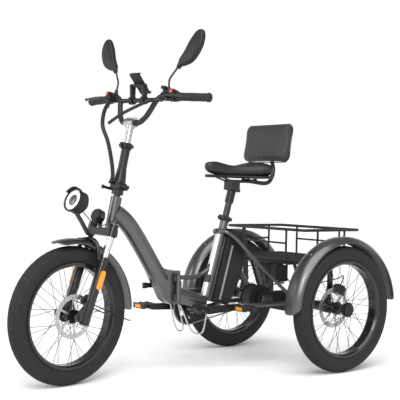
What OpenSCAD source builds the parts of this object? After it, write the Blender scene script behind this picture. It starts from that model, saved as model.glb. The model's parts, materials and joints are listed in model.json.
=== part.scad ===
// Folding adult tricycle with electric assist: one steered wheel in front,
// two wheels and a cargo basket behind, backrest seat, suspension fork.
// Millimetres. The rider faces -Y, the rider's left is +X, up is +Z, the
// ground is Z = 0 and the origin is the middle of the ground footprint.

/* [Wheels] */
// Outer diameter of all three tyres
tyre_od = 550; // [520:5:560]
// Width of the tyres
tyre_w = 76; // [60:1:80]
// Distance between the middles of the two rear tyres
track = 766; // [740:2:900]
// From the rear axle forward to the front axle, steering straight
wheelbase = 1147; // [1140:1:1200]
// Spokes in each wheel
spoke_count = 36; // [24:4:40]
// Outer diameter of the brake discs
disc_d = 176; // [150:2:180]
// Outer radius of the rear mudguards
guard_r = 315; // [305:1:340]
// Width of the rear mudguards
guard_w = 97; // [90:1:110]

/* [Steering] */
// Backward lean of the steering axis from upright
rake = 11.5; // [10:0.5:14]
// Turn of the steering at rest, positive to the rider's left
steer_rest = 7.6; // [-20:0.1:20]
// Distance between the two fork legs, centre to centre
leg_gap = 132; // [126:1:150]
// Forward lean of the fork legs from the steering axis
leg_tilt = 7.6; // [5:0.1:9]
// Height of the handlebar clamp above the lower head bearing
stem_h = 448; // [420:1:520]
// Overall width of the handlebar
bar_w = 740; // [640:10:800]
// Backward sweep of the grips
grip_sweep = 10; // [0:1:14]

/* [Frame] */
// Backward lean of the seat tube from upright
seat_angle = 15.5; // [14:0.5:16]
// From the rear axle forward to the folding joint
fold_y = 638; // [630:1:646]
// Height of the folding joint's plates
fold_plate_h = 142; // [130:1:160]
// Outer diameter of the main tube
main_tube_d = 72; // [60:1:76]
// Height of the crank axle above the ground
crank_z = 266; // [260:1:280]
// Length of the crank arms
crank_len = 165; // [150:1:175]

/* [Seat] */
// Visible height of the seat post between clamp and saddle
post_show = 128; // [100:1:160]
// Width of the saddle at its rear
saddle_w = 236; // [200:2:260]
// Width of the backrest pad
pad_w = 300; // [260:2:320]
// Height of the backrest pad
pad_h = 178; // [150:2:200]

/* [Basket] */
// Inside width of the basket between its side rails
basket_w = 516; // [460:2:540]
// Length of the basket, front rail to rear rail
basket_l = 337; // [300:1:380]
// Height of the basket from floor to top rail
basket_h = 151; // [120:1:200]

/* [Hidden] */
$fn = 48;
e = 0.3;              // play between neighbours on different bodies
run = 0.05;           // running clearance of a shaft in its bore
tyre_r = tyre_od / 2;
tube_r = tyre_w / 2;  // radius of the tyre's round section
ring_r = tyre_r - tube_r;
rim_r = ring_r - 42.4; // innermost radius of the rim
disc_r = disc_d / 2;
rest_c = cos(steer_rest);

// head_pos is the lower head bearing on the steering axis, from the rear axle
head_pos = [-954, 609];
axle_fwd = 122.5;     // front axle ahead of the steering axis
// the tilt of the turned front wheel, so that it still meets the ground
lean_x = sin(rake) * sin(steer_rest);
reach = ring_r * sqrt(1 - lean_x * lean_x) + tube_r;
axle_up = (reach - head_pos[1] - axle_fwd * rest_c * sin(rake)) / cos(rake);
// wheelbase moves the whole steering assembly
head_y = -wheelbase - axle_up * sin(rake) + axle_fwd * cos(rake);
head_z = head_pos[1];
front_y = head_y + axle_up * sin(rake) - axle_fwd * rest_c * cos(rake);
turn_y = -sin(steer_rest) * cos(rake);
front_end = front_y - ring_r * sqrt(1 - turn_y * turn_y) - tube_r;
guard_back = 14;      // mudguards sit behind the axle
rear_end = guard_back + guard_r;
rear_y = -(front_end + rear_end) / 2;

head_len = 136;       // head tube
stem_fold = 182;      // fold of the stem above the lower head bearing
collar_up = 350;      // clamp collar of the telescopic stem
leg_fwd = 40;         // fork legs ahead of the steering axis at the crown
leg_x = leg_gap / 2;
stan_r = 15;          // fork stanchion
steerer_r = 14.3;
post_r = 15;
seat_foot = [-452, 310];
seat_len = 366;       // seat tube from its foot to the clamp
crank_y = -512;
fold_z = 363;
fold_pin_x = 44;
bar_r = 11.1;
half_track = track / 2;
axle_z = tyre_r;
motor_pos = [-165, 290];
basket_front = -118;
basket_z = 467;
wire_r = 6.5;

// ---------- helpers ----------
function unit(v) = v / norm(v);
function tangent(p, i) =
    unit(p[min(i + 1, len(p) - 1)] - p[max(i - 1, 0)]);
// normals carried along a path with the least twist
function normals(p, i = 0, n = [0, 0, 0]) = i >= len(p) ? [] :
    let (t = tangent(p, i),
         s = norm(n) > 0 ? n : (abs(t[2]) < 0.8 ? [0, 0, 1] : [1, 0, 0]),
         m = unit(s - (s * t) * t))
    concat([m], normals(p, i + 1, m));
// Catmull-Rom curve through the points p, with k steps between neighbours
function cr(a, b, c, d, t) = 0.5 * ((2 * b) + (c - a) * t
    + (2 * a - 5 * b + 4 * c - d) * t * t
    + (3 * b - a - 3 * c + d) * t * t * t);
function curve(p, k) = concat(
    [for (i = [0:len(p) - 2], j = [0:k - 1])
        cr(p[max(i - 1, 0)], p[i], p[i + 1], p[min(i + 2, len(p) - 1)], j / k)],
    [p[len(p) - 1]]);

// a round rod swept along the points p, its section s-sided
module sweep(p, r, s = 10) {
    n = normals(p);
    pts = [for (i = [0:len(p) - 1]) let (t = tangent(p, i), b = cross(t, n[i]))
        for (k = [0:s - 1])
            p[i] + r * (cos(k * 360 / s) * n[i] + sin(k * 360 / s) * b)];
    m = len(p);
    polyhedron(pts, concat(
        [for (i = [0:m - 2], k = [0:s - 1])
            [i * s + k, (i + 1) * s + k, (i + 1) * s + (k + 1) % s,
             i * s + (k + 1) % s]],
        [[for (k = [0:s - 1]) k]],
        [[for (k = [s - 1:-1:0]) (m - 1) * s + k]]), convexity = 6);
}

// a straight round rod from a to b
module rod(a, b, r) {
    d = b - a;
    translate(a)
        rotate([0, acos(d[2] / norm(d)), atan2(d[1], d[0])])
            cylinder(h = norm(d), r = r);
}

// straight rods through the points p, each corner a slightly larger ball
module rods(p, r) {
    for (i = [0:len(p) - 2]) rod(p[i], p[i + 1], r);
    if (len(p) > 2) for (i = [1:len(p) - 2]) translate(p[i]) sphere(r * 1.04);
}

module at_rear() translate([0, rear_y, 0]) children();

// the steering axis as local Z, its lower bearing as the origin
module at_head(turn = steer_rest)
    translate([0, rear_y + head_y, head_z])
        rotate([-rake, 0, 0]) rotate([0, 0, turn]) children();

// a fork leg's axis as local Z, the crown at the origin, side is +1 or -1
module at_leg(side)
    at_head() translate([side * leg_x, -leg_fwd, 0])
        rotate([-leg_tilt, 0, 0]) children();

// the front axle with local X along it and local Z up the steering axis
module at_front_axle()
    at_head() translate([0, -axle_fwd, axle_up]) children();

// the seat tube's axis as local Z, its foot as the origin
module at_seat()
    translate([0, rear_y + seat_foot[0], seat_foot[1]])
        rotate([-seat_angle, 0, 0]) children();

module at_wheel(side)
    translate([side * half_track, rear_y, axle_z]) children();

// a cylinder along X, centred on the origin or starting at x0
module xcyl(r, l, x0) translate([x0, 0, 0]) rotate([0, 90, 0])
    cylinder(r = r, h = l);

// a closed outline in Y and Z drawn at x0, l thick along X
module slab(l, x0) translate([x0, 0, 0]) rotate([90, 0, 90])
    linear_extrude(height = l) children();

module mirrored() { children(); mirror([1, 0, 0]) children(); }

// ---------- wheels ----------
// a tyre carcass: a round tube open at the rim
module tyre_shape() rotate([0, 90, 0]) rotate_extrude($fn = 96)
    difference() {
        translate([ring_r, 0]) circle(tube_r);
        translate([ring_r, 0]) circle(tube_r - 5);
        translate([0, -tube_r]) square([ring_r - 33.5, tyre_w]);
    }

module rim_shape() rotate([0, 90, 0]) rotate_extrude($fn = 96)
    polygon([[rim_r, -20], [rim_r + 6, -29], [rim_r + 16.6, -29.5],
        [rim_r + 16.6, -28.2], [rim_r + 8, -19.4], [rim_r + 8, 19.4],
        [rim_r + 16.6, 28.2], [rim_r + 16.6, 29.5], [rim_r + 6, 29],
        [rim_r, 20]]);

// crossed steel spokes from the hub's two flanges to the rim
module spoke_shape() for (i = [0:spoke_count - 1]) {
    side = i % 2 == 0 ? 1 : -1;
    lead = floor(i / 2) % 2 == 0 ? 1 : -1;
    a = i * 360 / spoke_count;
    h = a + lead * 62;
    rod([side * (27 + 1.7 * lead), 30.6 * cos(h), 30.6 * sin(h)],
        [side * (8 + 1.7 * lead), (rim_r - 0.3) * cos(a),
            (rim_r - 0.3) * sin(a)], 1.1);
}

// a hub barrel with two spoke flanges, for a shaft of radius r
module hub_shape(r) difference() {
    union() {
        xcyl(18, 62, -31);
        for (x = [-29.5, 24.5]) xcyl(29, 5, x);
    }
    xcyl(r, 80, -40);
}

// a brake disc with a slotted ring, six arms and a carrier, at x0
module disc_shape(x0, bore) translate([x0, 0, 0]) rotate([0, 90, 0])
    difference() {
        union() {
            difference() {
                cylinder(r = disc_r, h = 2);
                translate([0, 0, -1]) cylinder(r = disc_r - 19, h = 4);
            }
            for (i = [0:5]) rotate(i * 60 + 15)
                translate([14, -4, 0]) cube([disc_r - 31, 8, 2]);
            cylinder(r = 24, h = 2);
        }
        translate([0, 0, -1]) cylinder(r = bore, h = 4);
        for (i = [0:23]) rotate(i * 15 + (i % 2) * 3)
            translate([disc_r - (i % 2 == 0 ? 6 : 13), 0, -1])
                cylinder(r = 2.6, h = 4, $fn = 16);
    }

// ---------- front wheel ----------
module front_tyre() color([0.09, 0.09, 0.10]) at_front_axle() tyre_shape();
module front_rim() color([0.06, 0.06, 0.07]) at_front_axle() rim_shape();
module front_spokes() color([0.35, 0.35, 0.37]) at_front_axle() spoke_shape();
module front_hub() color([0.30, 0.30, 0.32]) at_front_axle() {
    hub_shape(6 + run);
    disc_shape(31.2, 12);
}

// ---------- rear wheels ----------
// hub, outboard drum and the half shaft that carries the wheel
module rear_hub_shape(side) at_wheel(side) mirror([side < 0 ? 1 : 0, 0, 0]) {
    difference() {
        union() {
            hub_shape(10);
            xcyl(32, 9, 31);
            xcyl(27, 4, 40);
            xcyl(10, 320, -320);
            xcyl(10, 80, -40);
        }
        for (i = [0:5]) rotate([i * 60, 0, 0]) translate([0, 20, 0])
            xcyl(2.5, 6, 40.5);
    }
    disc_shape(-50, 10.2);
}
module left_tyre() color([0.09, 0.09, 0.10]) at_wheel(1) tyre_shape();
module left_rim() color([0.06, 0.06, 0.07]) at_wheel(1) rim_shape();
module left_spokes() color([0.35, 0.35, 0.37]) at_wheel(1) spoke_shape();
module left_hub() color([0.20, 0.20, 0.22]) rear_hub_shape(1);
module right_tyre() color([0.09, 0.09, 0.10]) at_wheel(-1) tyre_shape();
module right_rim() color([0.06, 0.06, 0.07]) at_wheel(-1) rim_shape();
module right_spokes() color([0.35, 0.35, 0.37]) at_wheel(-1) spoke_shape();
module right_hub() color([0.20, 0.20, 0.22]) rear_hub_shape(-1);

// ---------- fork ----------
stan_top = -22;       // underside of the crown, along a leg
lower_top = -118;     // top of the sliding leg
lower_end = -395;     // bottom of the sliding leg

// steerer tube and forged crown
module fork_crown() color([0.08, 0.08, 0.09]) {
    at_head() {
        translate([0, 0, -6]) cylinder(r = steerer_r, h = head_len + 34);
        translate([0, 0, -30]) linear_extrude(height = 28) hull() {
            circle(24);
            for (s = [-1, 1]) translate([s * leg_x, -leg_fwd + 2]) circle(20);
        }
    }
    for (s = [-1, 1]) at_leg(s) translate([0, 0, -34])
        cylinder(r = 18.5, h = 52);
}

module stanchions() color([0.78, 0.79, 0.81]) for (s = [-1, 1]) at_leg(s)
    translate([0, 0, lower_top - 110])
        cylinder(r = stan_r, h = 110 - lower_top - 34);

// sliding legs, brace over the tyre, axle lugs and the axle itself
module fork_lowers() color([0.07, 0.07, 0.08]) {
    for (s = [-1, 1]) difference() {
        union() {
            at_leg(s) {
                translate([0, 0, lower_end])
                    cylinder(r = 19, h = lower_top - lower_end);
                translate([0, 0, lower_top - 20]) cylinder(r = 21, h = 20);
            }
            at_head() translate([s * leg_x, -axle_fwd, axle_up])
                xcyl(17, 16, -8);
            at_head() translate([s * leg_x - 6, 0, 0]) hull() {
                translate([0, -axle_fwd, axle_up]) xcyl(15, 12, 0);
                translate([0, -axle_fwd + 36, axle_up + 14]) xcyl(13, 12, 0);
                translate([0, -axle_fwd + 44, axle_up + 80]) xcyl(9, 12, 0);
            }
        }
        at_leg(s) translate([0, 0, lower_top - 170])
            cylinder(r = stan_r + run, h = 180);
    }
    at_front_axle() {
        xcyl(6, leg_gap + 26, -leg_x - 13);
        for (s = [-1, 1]) translate([s * (leg_x + 11), 0, 0]) xcyl(10, 6, -3);
    }
    at_head() sweep(curve(brace_path, 5), 8.5, 12);
    fork_reflectors();
}
brace_path = [[-leg_x, -82, -131], [-leg_x + 1, -87, -108],
    [-leg_x + 10, -92, -80], [-leg_x + 28, -94.5, -61], [0, -95, -53],
    [leg_x - 28, -94.5, -61], [leg_x - 10, -92, -80],
    [leg_x - 1, -87, -108], [leg_x, -82, -131]];

module fork_reflectors() for (s = [-1, 1])
    at_leg(s) translate([s * 19.2, 0, -210]) rotate([0, s * 90, 0])
        linear_extrude(height = 6) hull()
            for (z = [-28, 28]) translate([z, 0]) circle(11, $fn = 24);

// half a guard's arched section, x from the middle, y the radius
function arch(w, r, drop, n) = [for (i = [-n:n])
    [r - drop * pow(abs(i / n), 2.6), i * w / 2 / n]];
// a curved guard round X: angles from upright, front negative, rear positive
module guard_shape(w, r, drop, t, front, rear) rotate([180 - rear, 0, 0])
    rotate([0, 90, 0]) rotate_extrude(angle = rear - front, $fn = 96)
        polygon(concat(arch(w, r, drop, 6),
            [for (p = [12:-1:0]) let (q = arch(w - 2 * t, r - t, drop, 6)[p])
                q]));

module front_mudguard() color([0.24, 0.24, 0.25]) at_front_axle() {
    rotate([rake, 0, 0]) guard_shape(86, 305, 16, 2.6, -16, 90);
    // wire stay from the rear edge to each sliding leg
    for (s = [-1, 1]) rods([[s * 41, 286, 20], [s * 52, 262, 22],
        [s * 56, 60, 60]], 2.5);
    // strap to the brace of the fork
    rotate([rake, 0, 0]) translate([-8, 30, 300]) cube([16, 50.5, 6]);
}

module front_caliper() color([0.13, 0.13, 0.14]) at_head()
    translate([33, -axle_fwd, axle_up]) rotate([52, 0, 0]) difference() {
        union() {
            translate([-4.6, 62, -26]) cube([18.4, 34, 52]);
            for (z = [-22:8.8:22]) translate([-4.6, 95.9, z - 2])
                cube([18.4, 5, 4]);
        }
        translate([-2.2, 55, -40]) cube([4.4, disc_r - 50, 80]);
    }

// ---------- front lamp and horn ----------
lamp_at = [0, -172, 72];
module headlight() color([0.08, 0.08, 0.09]) {
    headlight_lens();
    headlight_arm();
    at_head() headlight_body();
}
module headlight_body() {
    translate(lamp_at) rotate([90 - rake, 0, 0]) {
        difference() {
            cylinder(r = 49, h = 46);
            translate([0, 0, 38]) cylinder(r = 42, h = 10);
        }
        translate([0, 0, -16]) cylinder(r1 = 30, r2 = 46, h = 16.5);
        // visor over the upper rim
        rotate(30) rotate_extrude(angle = 120) translate([49, 40])
            square([3, 16]);
    }
}
module headlight_lens() at_head()
    translate(lamp_at) rotate([90 - rake, 0, 0]) translate([0, 0, 38.2]) {
        cylinder(r = 41.6, h = 5);
        cylinder(r = 22, h = 8);
    }
module headlight_arm() at_head() {
    slab(26, -13) polygon([[lamp_at[1] - 18, 30], [lamp_at[1] + 8, 22],
        [-98, -35], [-87, -37], [-87, -44.2], [-106, -44.2], [-120, -40]]);
    rod([0, -96, -38], [0, -96, -32], 7);
}
module horn() color([0.10, 0.10, 0.11]) at_head() {
    translate([0, -63, 40]) rotate([90 - rake, 0, 0]) {
        cylinder(r = 29, h = 22);
        translate([0, 0, 22]) cylinder(r = 24, h = 8);
        translate([0, 0, -14]) cylinder(r = 14, h = 14.5);
    }
    translate([-9, -59, -2]) cube([18, 6, 34]);
    translate([-9, -59, -2]) cube([18, 34.5, 5]);
}

// ---------- stem ----------
module stem_base() color([0.16, 0.16, 0.17]) at_head() difference() {
    union() {
        translate([0, 0, head_len + 10.5])
            cylinder(r = 24, h = stem_fold - head_len - 12);
        translate([-24, -26, stem_fold - 14]) cube([48, 52, 13.7]);
        // half knuckles of the fold on the rider's left
        for (y = [-26, 12]) translate([0, y, 0]) rotate([-90, 0, 0])
            translate([29, -stem_fold, 0]) cylinder(r = 8, h = 14);
        translate([20, -26, stem_fold - 14]) cube([9, 14, 13.7]);
        translate([20, 12, stem_fold - 14]) cube([9, 14, 13.7]);
        translate([29, -26, stem_fold]) rotate([-90, 0, 0])
            cylinder(r = 3.5, h = 52);
        // lug and pin of the latch
        translate([-41, 11, stem_fold - 30]) cube([28, 14, 7.7]);
        translate([-34, 18, stem_fold - 26]) cylinder(r = 2.5, h = 26);
    }
    translate([0, 0, head_len]) cylinder(r = steerer_r, h = 28);
    // room for the middle knuckle of the upper half
    translate([20.5, -11.9, stem_fold - 12]) cube([3.6, 23.8, 14]);
}

module stem_lower() color([0.07, 0.07, 0.08]) at_head() difference() {
    union() {
        translate([-24, -26, stem_fold + e]) cube([48, 52, 14]);
        translate([0, 0, stem_fold + 12]) cylinder(r1 = 26, r2 = 19, h = 60);
        translate([0, 0, stem_fold + 60])
            cylinder(r = 18, h = collar_up - stem_fold - 60);
        // clamp collar with its ears
        translate([0, 0, collar_up - 14]) cylinder(r = 22, h = 26);
        translate([-7, -32, collar_up - 12]) cube([14, 18, 22]);
        translate([0, -24, collar_up - 1]) clamp_bolt();
        translate([22, -11.6, stem_fold + 0.5]) cube([7, 23.2, 10]);
        translate([29, -11.6, stem_fold]) rotate([-90, 0, 0])
            cylinder(r = 8, h = 23.2);
    }
    translate([0, 0, stem_fold + 16]) cylinder(r = 14.05, h = 200);
    translate([29, -30, stem_fold]) rotate([-90, 0, 0])
        cylinder(r = 3.55, h = 60);
    for (y = [-27, 11.9]) translate([20, y, stem_fold - 10])
        cube([20, 15.1, 30]);
}

// latch of the stem fold, on the rider's right, turning on an upright pin
module stem_latch() color([0.45, 0.45, 0.47]) at_head() difference() {
    union() {
        translate([-34, 18, stem_fold - 22]) cylinder(r = 7, h = 22);
        translate([-32, -16, stem_fold - 10]) cube([7.4, 34, 22]);
        translate([-37, -52, stem_fold - 20]) cube([7, 70, 11]);
        translate([-33.5, -54, stem_fold - 22]) cylinder(r = 6, h = 15);
    }
    translate([-34, 18, stem_fold - 40]) cylinder(r = 2.5 + run, h = 60);
}

// quick release of the telescopic stem
module stem_lever() color([0.10, 0.10, 0.11]) at_head()
    translate([0, -24, collar_up - 1]) cam_lever(34);

// bright inner tube with the handlebar clamp on top
module stem_upper() color([0.62, 0.63, 0.65]) at_head() {
    translate([0, 0, collar_up - 100])
    cylinder(r = 14, h = stem_h - collar_up + 86.5);
    difference() {
        union() {
            translate([0, 0, stem_h - 24]) cylinder(r = 18, h = 16);
            xcyl_at(stem_h, 19.5, 56);
            translate([-26, -6, stem_h + 12]) cube([52, 12, 12]);
        }
        xcyl_at(stem_h, bar_r + 1.9 + run, 80);
    }
}
module xcyl_at(z, r, l) translate([0, 0, z]) xcyl(r, l, -l / 2);

// ---------- handlebar ----------
bar_top = 98;         // rise of the bar from its clamp to the grips
bar_knee = 112;       // half distance between the two risers
grip_start = 214;
end_x = bar_w / 2;
function bar_y(x) = x < bar_knee ? 14 :
    14 + (x - bar_knee) * tan(grip_sweep);
function bar_side(s) = [[s * 36, 0, 0], [s * 58, 1, 6], [s * 82, 5, 30],
    [s * 100, 10, 66], [s * bar_knee, 14, bar_top - 4],
    [s * 126, bar_y(126), bar_top + 11],
    [s * 138, bar_y(138), bar_top + 17.4],
    [s * 150, bar_y(150), bar_top + 18], [s * 170, bar_y(170), bar_top + 18],
    [s * grip_start, bar_y(grip_start), bar_top + 18],
    [s * end_x, bar_y(end_x), bar_top + 18]];
module at_bar() at_head() translate([0, 0, stem_h]) children();
// local Z along the grip, outward, at distance x from the middle
module at_grip(s, x) at_bar() translate([s * x, bar_y(x), bar_top + 18])
    rotate([0, 0, s > 0 ? grip_sweep : 180 - grip_sweep])
        rotate([0, 90, 0]) children();

module handlebar() color([0.07, 0.07, 0.08]) {
    at_bar() {
        xcyl(bar_r + 1.9, 74, -37);
        for (s = [-1, 1]) sweep(curve(bar_side(s), 4), bar_r, 14);
        rod([-bar_knee, 14, bar_top + 2], [bar_knee, 14, bar_top + 2], 9.5);
    }
}

module grips() color([0.12, 0.12, 0.13]) for (s = [-1, 1])
    at_grip(s, grip_start + 2) difference() {
        union() {
            cylinder(r = 16.5, h = 148);
            cylinder(r = 19.5, h = 6);
            translate([0, 0, 146]) cylinder(r = 18.5, h = 12);
        }
        translate([0, 0, -1]) cylinder(r = bar_r + 0.6, h = 158);
    }

// everything clamped to the bar: lever holders with switch boxes, display,
// and phone arms
module bar_fittings() color([0.09, 0.09, 0.10]) {
    display();
    phone_holder();
    for (s = [-1, 1]) lever_holder(s);
}
module lever_holder(s) {
    at_grip(s, grip_start - 42) difference() {
        union() {
            translate([0, 0, -17]) cylinder(r = 19, h = 31);
            translate([0, 0, 14]) cylinder(r = 21, h = 24);
            // socket of the mirror
            translate([-8, 0, -7.1]) rotate([0, -90, 0])
                cylinder(r = 9, h = 15);
            // switch box forward and above
            translate([-26, s > 0 ? -24 : -12, 14]) cube([20, 36, 22]);
            // lever holder forward of the bar
            translate([-6, s > 0 ? -36 : 8, -8]) cube([22, 28, 18]);
        }
        translate([0, 0, -20]) cylinder(r = bar_r + 0.6, h = 80);
        // pocket of the push button
        translate([-22.4, s > 0 ? -24.1 : 17.9, 18.6])
            cube([12.8, 6.2, 12.8]);
        // slot for the lever blade
        translate([-1.4, s > 0 ? -50 : 16, -20]) cube([12.8, 34, 60]);
    }
    at_grip(s, grip_start - 42)
        translate([-8, s > 0 ? -26 : 26, -3]) rotate([0, 90, 0])
            cylinder(r = 3, h = 26);
}

// a brake lever blade, ending in a small ball
module lever_blade(s) color([0.08, 0.08, 0.09]) at_grip(s, grip_start - 42)
    difference() {
        union() {
            translate([0, s > 0 ? -26 : 26, -3]) rotate([0, 90, 0])
                cylinder(r = 8, h = 10);
            rods([[5, -s * 28, 0], [7, -s * 50, 24], [8, -s * 56, 60],
                [9, -s * 58, 110], [9, -s * 54, 148]], 4.8);
            translate([9, -s * 54, 148]) sphere(7);
        }
        translate([-10, s > 0 ? -26 : 26, -3]) rotate([0, 90, 0])
            cylinder(r = 3 + run, h = 40);
    }
module brake_lever_left() lever_blade(1);
module brake_lever_right() lever_blade(-1);

// red push buttons on the two switch boxes
module push_button(s) color([0.85, 0.03, 0.03]) at_grip(s, grip_start - 42)
    translate([-22, s > 0 ? -27.3 : 20.3, 19]) cube([12, 7, 12]);
module button_left() push_button(1);
module button_right() push_button(-1);

// thumb throttle beside the right grip
module throttle() color([0.08, 0.08, 0.09]) at_grip(-1, grip_start - 1)
    difference() {
        union() {
            translate([0, 0, -1.6]) cylinder(r = 20, h = 2.2);
            translate([12, -6, -1.6]) cube([26, 12, 2.2]);
        }
        translate([0, 0, -3]) cylinder(r = bar_r + run, h = 6);
    }

module display() at_grip(1, grip_start - 74)
    difference() {
        union() {
            cylinder(r = 18, h = 14);
            translate([-40, -16, -4]) cube([12, 32, 20]);
            translate([-34, -5, 0]) cube([20, 10, 14]);
        }
        translate([0, 0, -5]) cylinder(r = bar_r + 0.6, h = 30);
    }

// two clamps on the cross bar that carry the phone plate's hinge
phone_z = bar_top + 62;
module phone_holder() at_bar() for (s = [-1, 1])
    difference() {
        union() {
            translate([s * 37, 14, bar_top + 2]) xcyl(17, 20, -10);
            slab(12, s * 37 - 6) polygon([[4, bar_top + 10],
                [24, bar_top + 10], [14, phone_z - 2], [6, phone_z + 8],
                [-6, phone_z + 6], [-9, phone_z - 6]]);
        }
        translate([s * 37, 14, bar_top + 2]) xcyl(9.5 + run, 40, -20);
        translate([0, 0, phone_z]) xcyl(4 + run, 100, -50);
    }
module phone_plate() color([0.07, 0.07, 0.08]) at_bar() {
    translate([0, 0, phone_z]) {
        xcyl(4, 94, -47);
        for (x = [-47, 45]) xcyl(7, 2, x);
        xcyl(8, 58, -29);
    }
    translate([0, 0, phone_z]) rotate([-(48 - rake), 0, 0]) {
        translate([-30, -50, 9]) cube([60, 100, 5]);
        for (y = [-50, 44]) translate([-30, y, 13]) cube([60, 6, 7]);
        translate([-10, -8, 4]) cube([20, 16, 6]);
    }
}

// ---------- mirrors ----------
mirror_x = 165;
module at_mirror(s) at_bar()
    translate([s * mirror_x, bar_y(mirror_x), bar_top + 17]) children();
module mirror_unit(s) color([0.07, 0.07, 0.08]) at_mirror(s) {
        translate([0, 0, 24.3]) cylinder(r = 8, h = 14);
        sweep(curve([[0, 0, 36], [-s * 4, -2, 58], [-s * 2, -3, 74],
            [s * 12, -2, 96], [s * 30, 0, 122]], 4), 4, 10);
        translate([s * 30, 0, 118]) rotate([0, s * 36, 0]) {
            cylinder(r1 = 9, r2 = 13, h = 26);
            rotate([90, 0, 0]) translate([0, 0, -9])
                linear_extrude(height = 26) polygon([[-12, 18], [12, 18],
                    [34 + s * 14, 66], [36 + s * 10, 128], [24, 168],
                    [-4, 184], [-24, 170], [-34 + s * 8, 122],
                    [-32 + s * 16, 66]]);
        }
    }
module mirror_left() mirror_unit(1);
module mirror_right() mirror_unit(-1);

// ---------- front frame ----------
fp = fold_plate_h / 2;
// side outline of the gusset that joins main tube and fold plate
gusset = [[-760, 432], [-735, 470], [-700, 446], [-660, fold_z + fp],
    [-fold_y - e, fold_z + fp], [-fold_y - e, fold_z - fp],
    [-662, fold_z - fp], [-692, fold_z - fp + 20], [-722, 366],
    [-742, 400]];
// the main tube's curved middle line, from the head tube to the gusset
main_line = [[0, head_y + 17, head_z + 74], [0, head_y + 66, head_z + 40],
    [0, head_y + 110, head_z - 8], [0, -790, 526], [0, -742, 454],
    [0, -698, 392]];
module front_frame() color([0.26, 0.26, 0.27]) difference() {
    union() {
        at_head(0) cylinder(r = 23, h = head_len);
        at_rear() {
            sweep(curve(main_line, 3), main_tube_d / 2, 20);
            slab(56, -28) polygon(gusset);
            translate([-33, -fold_y - e - 16, fold_z - fp])
                cube([66, 16, fold_plate_h]);
            // ears and pin of the latch on the rider's right
            for (z = [-22, 16.3]) translate([-54, -fold_y - 18, fold_z + z])
                cube([24, 15, 5.7]);
            translate([-46, -fold_y - 10, fold_z - 20])
                cylinder(r = 3, h = 40);
            // two outer knuckles of the frame fold
            for (z = [-54, 28]) translate([fold_pin_x, -fold_y, fold_z + z]) {
                cylinder(r = 11, h = 26);
                translate([-12, -16.3, 0]) cube([12, 16, 26]);
            }
        }
    }
    // bearing seats at both ends, a wider bore between them
    at_head(0) {
        translate([0, 0, -5]) cylinder(r = steerer_r + run, h = head_len + 10);
        translate([0, 0, 14]) cylinder(r = 18, h = head_len - 28);
    }
    at_rear() {
        translate([fold_pin_x, -fold_y, fold_z - 80])
            cylinder(r = 5 + run, h = 160);
        translate([fold_pin_x - 13, -fold_y - 13, fold_z - 27.7])
            cube([26, 26, 55.4]);
    }
}

// latch of the frame fold, on the rider's right
module frame_latch() color([0.09, 0.09, 0.10]) at_rear() difference() {
    frame_lever();
    translate([-46, -fold_y - 10, fold_z - 30]) cylinder(r = 3 + run, h = 60);
}
module frame_lever() {
    translate([-46, -fold_y - 10, fold_z - 16]) cylinder(r = 8, h = 32);
    translate([-46, -fold_y - 10, fold_z - 12]) cylinder(r = 9.9, h = 24);
    translate([-54, -fold_y - 104, fold_z - 4]) cube([9, 96, 20]);
    translate([-56, -fold_y - 116, fold_z - 6]) cube([13, 16, 24]);
}

// ---------- rear frame ----------
rail_top = 288;
// one seat stay as seen on the rider's left
stay = [[11, -392, 603], [38, -385, 598], [52, -365, 586],
    [60, -322, 552], [74, -262, 490], [96, -196, 424], [120, -120, 352],
    [130, -60, 300], [131, -14, 280]];
chain_stay = [[20, -498, 262], [30, -470, 262], [31, -432, 262],
    [40, -390, 265], [54, -345, 269], [74, -296, 272], [85, -240, 272],
    [88, -120, 272], [92, -14, 274]];
module rear_frame() color([0.26, 0.26, 0.27]) difference() {
    union() {
        at_seat() cylinder(r = 19, h = seat_len);
        at_rear() {
            rod([0, -fold_y + 12, 332], [0, -474, 288], 34);
            translate([-33, -fold_y + e, fold_z - fp])
                cube([66, 18, fold_plate_h]);
            sweep(curve([[0, -fold_y + 14, 402], [0, -570, 401],
                [0, -530, 400], [0, -494, 406], [0, -462, 420],
                [0, -430, 440]], 4), 9.5, 14);
            // bottom bracket shell, its bore made below
            translate([0, crank_y, crank_z]) xcyl(24, 68, -34);
            mirrored() {
                sweep(curve(stay, 4), 8, 12);
                sweep(curve(chain_stay, 4), 10, 12);
                // dropout that carries the motor axle
                slab(8, 77) polygon([[-200, 260], [-130, 260],
                    [-140, 312], [-190, 312]]);
            }
            translate([0, motor_pos[0], motor_pos[1]]) xcyl(7, 182, -91);
            // middle knuckle of the frame fold and its pin
            translate([fold_pin_x, -fold_y, fold_z - 27.4]) {
                cylinder(r = 11, h = 54.8);
                translate([-12, 0.3, 0]) cube([12, 18, 54.8]);
            }
            translate([fold_pin_x, -fold_y, fold_z - 60])
                cylinder(r = 5, h = 120);
            // lug below the clamp stops the latch
            translate([-42, -fold_y + e, fold_z - 14]) cube([10, 18, 28]);
        }
    }
    at_seat() translate([0, 0, 40]) cylinder(r = post_r + run, h = seat_len);
    at_rear() translate([0, crank_y, crank_z]) xcyl(10 + run, 100, -50);
    at_rear() translate([0, 0, axle_z]) xcyl(21.05, 620, -310);
}

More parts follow.
